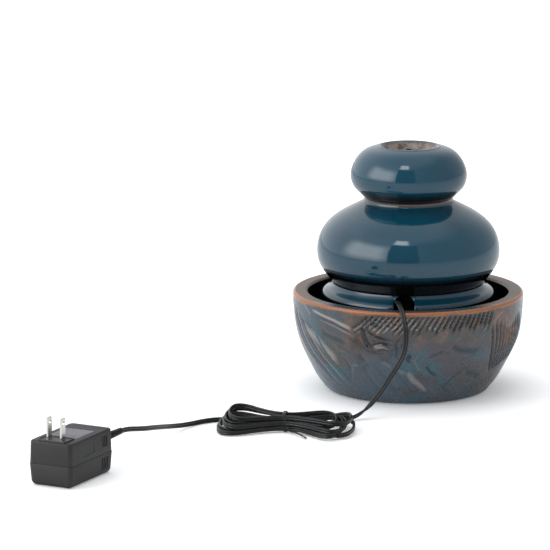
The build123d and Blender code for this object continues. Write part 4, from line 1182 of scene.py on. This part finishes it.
def makeShells():
    look = adapterLook
    width, length = adapter["width"] * 1000, adapter["length"] * 1000
    room = (width - look["sideWalls"], length - look["sideWalls"])
    parting, top = adapter["parting"] * 1000, adapter["height"] * 1000
    lower = roundBlock("lowerShell", (width, length), 0, parting, look["corner"])
    taperEnd(lower, 0, look["lowerDraft"])
    bevelEdges(lower, atHeight(0), look["bottomRound"], 8)
    bevelEdges(lower, atHeight(parting), look["seam"], 2)
    cavity = roundBlock("cavity", room, look["wall"] + 3.2, parting + 5, look["cavityCorner"])
    cutAway(lower, cavity)
    cutVents(lower, look["lowerVents"])
    step = 2 * look["step"]
    upper = roundBlock("upperShell", (width - step, length - step), parting, top, look["corner"])
    taperEnd(upper, top, look["upperDraft"])
    bevelEdges(upper, atHeight(top), look["topRound"], 6)
    bevelEdges(upper, atHeight(parting), look["seam"], 2)
    cavity = roundBlock("cavity", room, parting - 5, top - look["wall"], look["cavityCorner"])
    cutAway(upper, cavity)
    cutVents(upper, look["upperVents"])
    side = width / 2
    # the clip's outline on the side, and the step across the top near the cord
    cutBlock(upper, (side - 0.1, 3.4, 27.4), (1.3, 0.7, 8.6))
    cutBlock(upper, (side - 0.05, -4.4, 23.4), (1.2, 15, 0.7), 5)
    cutBlock(upper, (0, 26.2, top), (width + 2, 0.6, 0.7))
    cutBlock(upper, (0, 19.2, top), (27, 0.5, 0.5))
    finishShell(lower, 32, "casePlastic", "case_plastic", "adapter_lower_case")
    finishShell(upper, 32, "casePlastic", "case_plastic", "adapter_upper_case")
    return lower, upper


def makePlate():
    # a shallow tray with a raised edge, which the blades come through
    look = adapterLook
    top = adapter["height"] * 1000
    plate = roundBlock("bladeTray", (look["plateWidth"], look["plateLength"]), top, top + look["plateThick"],
                       1.5, 5)
    pickParts(plate, "FACE", lambda face: face.normal.z > 0.9)
    bpy.ops.mesh.inset(thickness=0.0009, depth=0)
    bpy.ops.mesh.inset(thickness=0.0003, depth=-0.0007)
    bpy.ops.object.mode_set(mode="OBJECT")
    for vertex in plate.data.vertices:
        vertex.co.y += adapter["bladeLine"]
    bevelEdges(plate, atHeight(top + look["plateThick"]), 0.2, 2)
    return finishShell(plate, 40, "platePlastic", "plate_plastic", "blade_plate")


tie = {
    "halfWide": 0.0064, "low": 0.00065, "high": 0.01595, "corner": 0.0024,
    "thick": 0.0013, "wide": 0.0021, "firstX": -0.0973, "lastX": -0.0947, "turns": 2, "perTurn": 24,
    "tail": [(-0.0946, -0.18185, 0.0062), (-0.0942, -0.1828, 0.0038), (-0.0915, -0.1862, 0.0026),
             (-0.0872, -0.1911, 0.0030), (-0.0822, -0.1972, 0.0024), (-0.0762, -0.2052, 0.0013)],
    "tailTwist": 150,
}


def tieLoop():
    # round the strands, starting and ending low on the near side
    halfWide, bend = tie["halfWide"], tie["corner"]
    middle, halfHigh = (tie["low"] + tie["high"]) / 2, (tie["high"] - tie["low"]) / 2
    corners = [(-1, 1), (1, 1), (1, -1), (-1, -1)]
    ring = []
    for k, (side, up) in enumerate(corners):
        centre = (side * (halfWide - bend), up * (halfHigh - bend))
        ring += arcRun(centre, bend, 180 - 90 * k, 90 - 90 * k, tie["perTurn"] // 4)
    loop = []
    total = tie["turns"] * len(ring)
    for i in range(total):
        y, z = ring[i % len(ring)]
        x = tie["firstX"] + (tie["lastX"] - tie["firstX"]) * min(i / total, 1)
        loop.append((x, hank["tieY"] + y, middle + z))
    return loop


def makeTie():
    loop = tieLoop()
    route = loop + tie["tail"]
    line = splineLine(route, 4)
    ways = []
    leaves = len(loop) / len(route)
    for i in range(len(line)):
        share = max(0, i / len(line) - leaves) / (1 - leaves)
        way = (line[min(i + 1, len(line) - 1)] - line[max(i - 1, 0)]).normalized()
        ways.append(Matrix.Rotation(math.radians(tie["tailTwist"]) * share, 3, way) @ Vector((1, 0, 0)))
    halfWide, halfThick = tie["wide"] / 2, tie["thick"] / 2
    section = [(halfWide * math.cos(a), halfThick * (0.35 * math.copysign(1, math.sin(a))
                                                     * abs(math.sin(a)) ** 0.4 + 0.65 * math.sin(a)))
               for a in np.radians(np.arange(15, 375, 30))]
    piece = sweepSection("hankTie", line, ways, section)
    return finishPiece(piece, 50, "tieVinyl", "root", "tie_vinyl", "cord_tie")


relief = {"collar": 5.0, "collarLength": 2.0, "body": 3.4, "taper": 0.0279, "length": 28.0,
          "grooves": 7, "firstGroove": 4.0, "pitch": 3.0, "grooveWidth": 1.5, "grooveRadius": 2.32}


def makeRelief():
    def bodyRadius(along):
        return relief["body"] - relief["taper"] * (along - relief["collarLength"])
    collar, length = relief["collar"], relief["length"]
    outline = [(0, -1.4), (4, -1.4), (4, 0), (4.75, 0.02), (collar, 0.25), (collar, 1.65), (4.7, 2),
               (3.9, 2.05), (3.45, 2.4)]
    for groove in range(relief["grooves"]):
        start = relief["firstGroove"] + groove * relief["pitch"]
        end = start + relief["grooveWidth"]
        outline += [(bodyRadius(start), start - 0.3), (bodyRadius(start) - 0.16, start - 0.02),
                    (relief["grooveRadius"], start + 0.16), (relief["grooveRadius"], end - 0.16),
                    (bodyRadius(end) - 0.16, end + 0.02), (bodyRadius(end), end + 0.3)]
    outline += [(bodyRadius(length), length - 0.5), (bodyRadius(length) - 0.35, length), (0, length)]
    piece = spinOutline("strainRelief", inMetres(outline), 44)
    along = Matrix(((1, 0, 0), (0, 0, 1), (0, -1, 0))).to_4x4()
    piece.matrix_world = (adapterFrame
                          @ Matrix.Translation((adapter["reliefOffset"], adapter["backFace"],
                                                adapter["reliefHeight"])) @ along)
    settle(piece)
    return finishPiece(piece, 40, "cordVinyl", "root", "cord_vinyl", "adapter_strain_relief")


print("building the adapter")
shellPieces = makeShells()
platePiece = makePlate()
print("carving the bowl")
makeBowl()
print("throwing the stones")
makeStones()
print("laying the cord")
cordPiece, cordLine, cordLength = makeCord()
tiePiece = makeTie()
reliefPiece = makeRelief()
print("cord length", round(cordLength, 3))


# Finishes of the nodes that keep their own shape.
nodeFinish = {
    "foot_pads": "padRubber", "outlet_grommet": "sealRubber", "riser_tube": "clearTube",
    "outlet_spout": "pumpPlastic", "pump_housing": "pumpPlastic", "suction_cups": "sealRubber",
    "stator_core": "coreSteel", "stator_coil": "copperWire", "potting_resin": "potting",
    "pump_gland": "cordVinyl", "rotor_shaft": "shaftCeramic", "rear_bush": "sealRubber",
    "front_bush": "sealRubber", "rotor_magnet": "ferrite", "impeller": "impellerPlastic",
    "volute_cover": "volutePlastic", "intake_cover": "volutePlastic", "flow_slider": "sliderPlastic",
    "plug_blades": "bladeNickel", "adapter_label": "labelFilm",
    "transformer_core": "coreSteel", "transformer_bobbin": "bobbinNylon",
    "primary_winding": "copperWire", "secondary_winding": "copperWire",
}


def finishNodes():
    for name, finish in nodeFinish.items():
        node = nodes[name]
        node.data.materials.clear()
        node.data.materials.append(materials[finish])


finishNodes()
print("nodes finished:", len(nodeFinish))
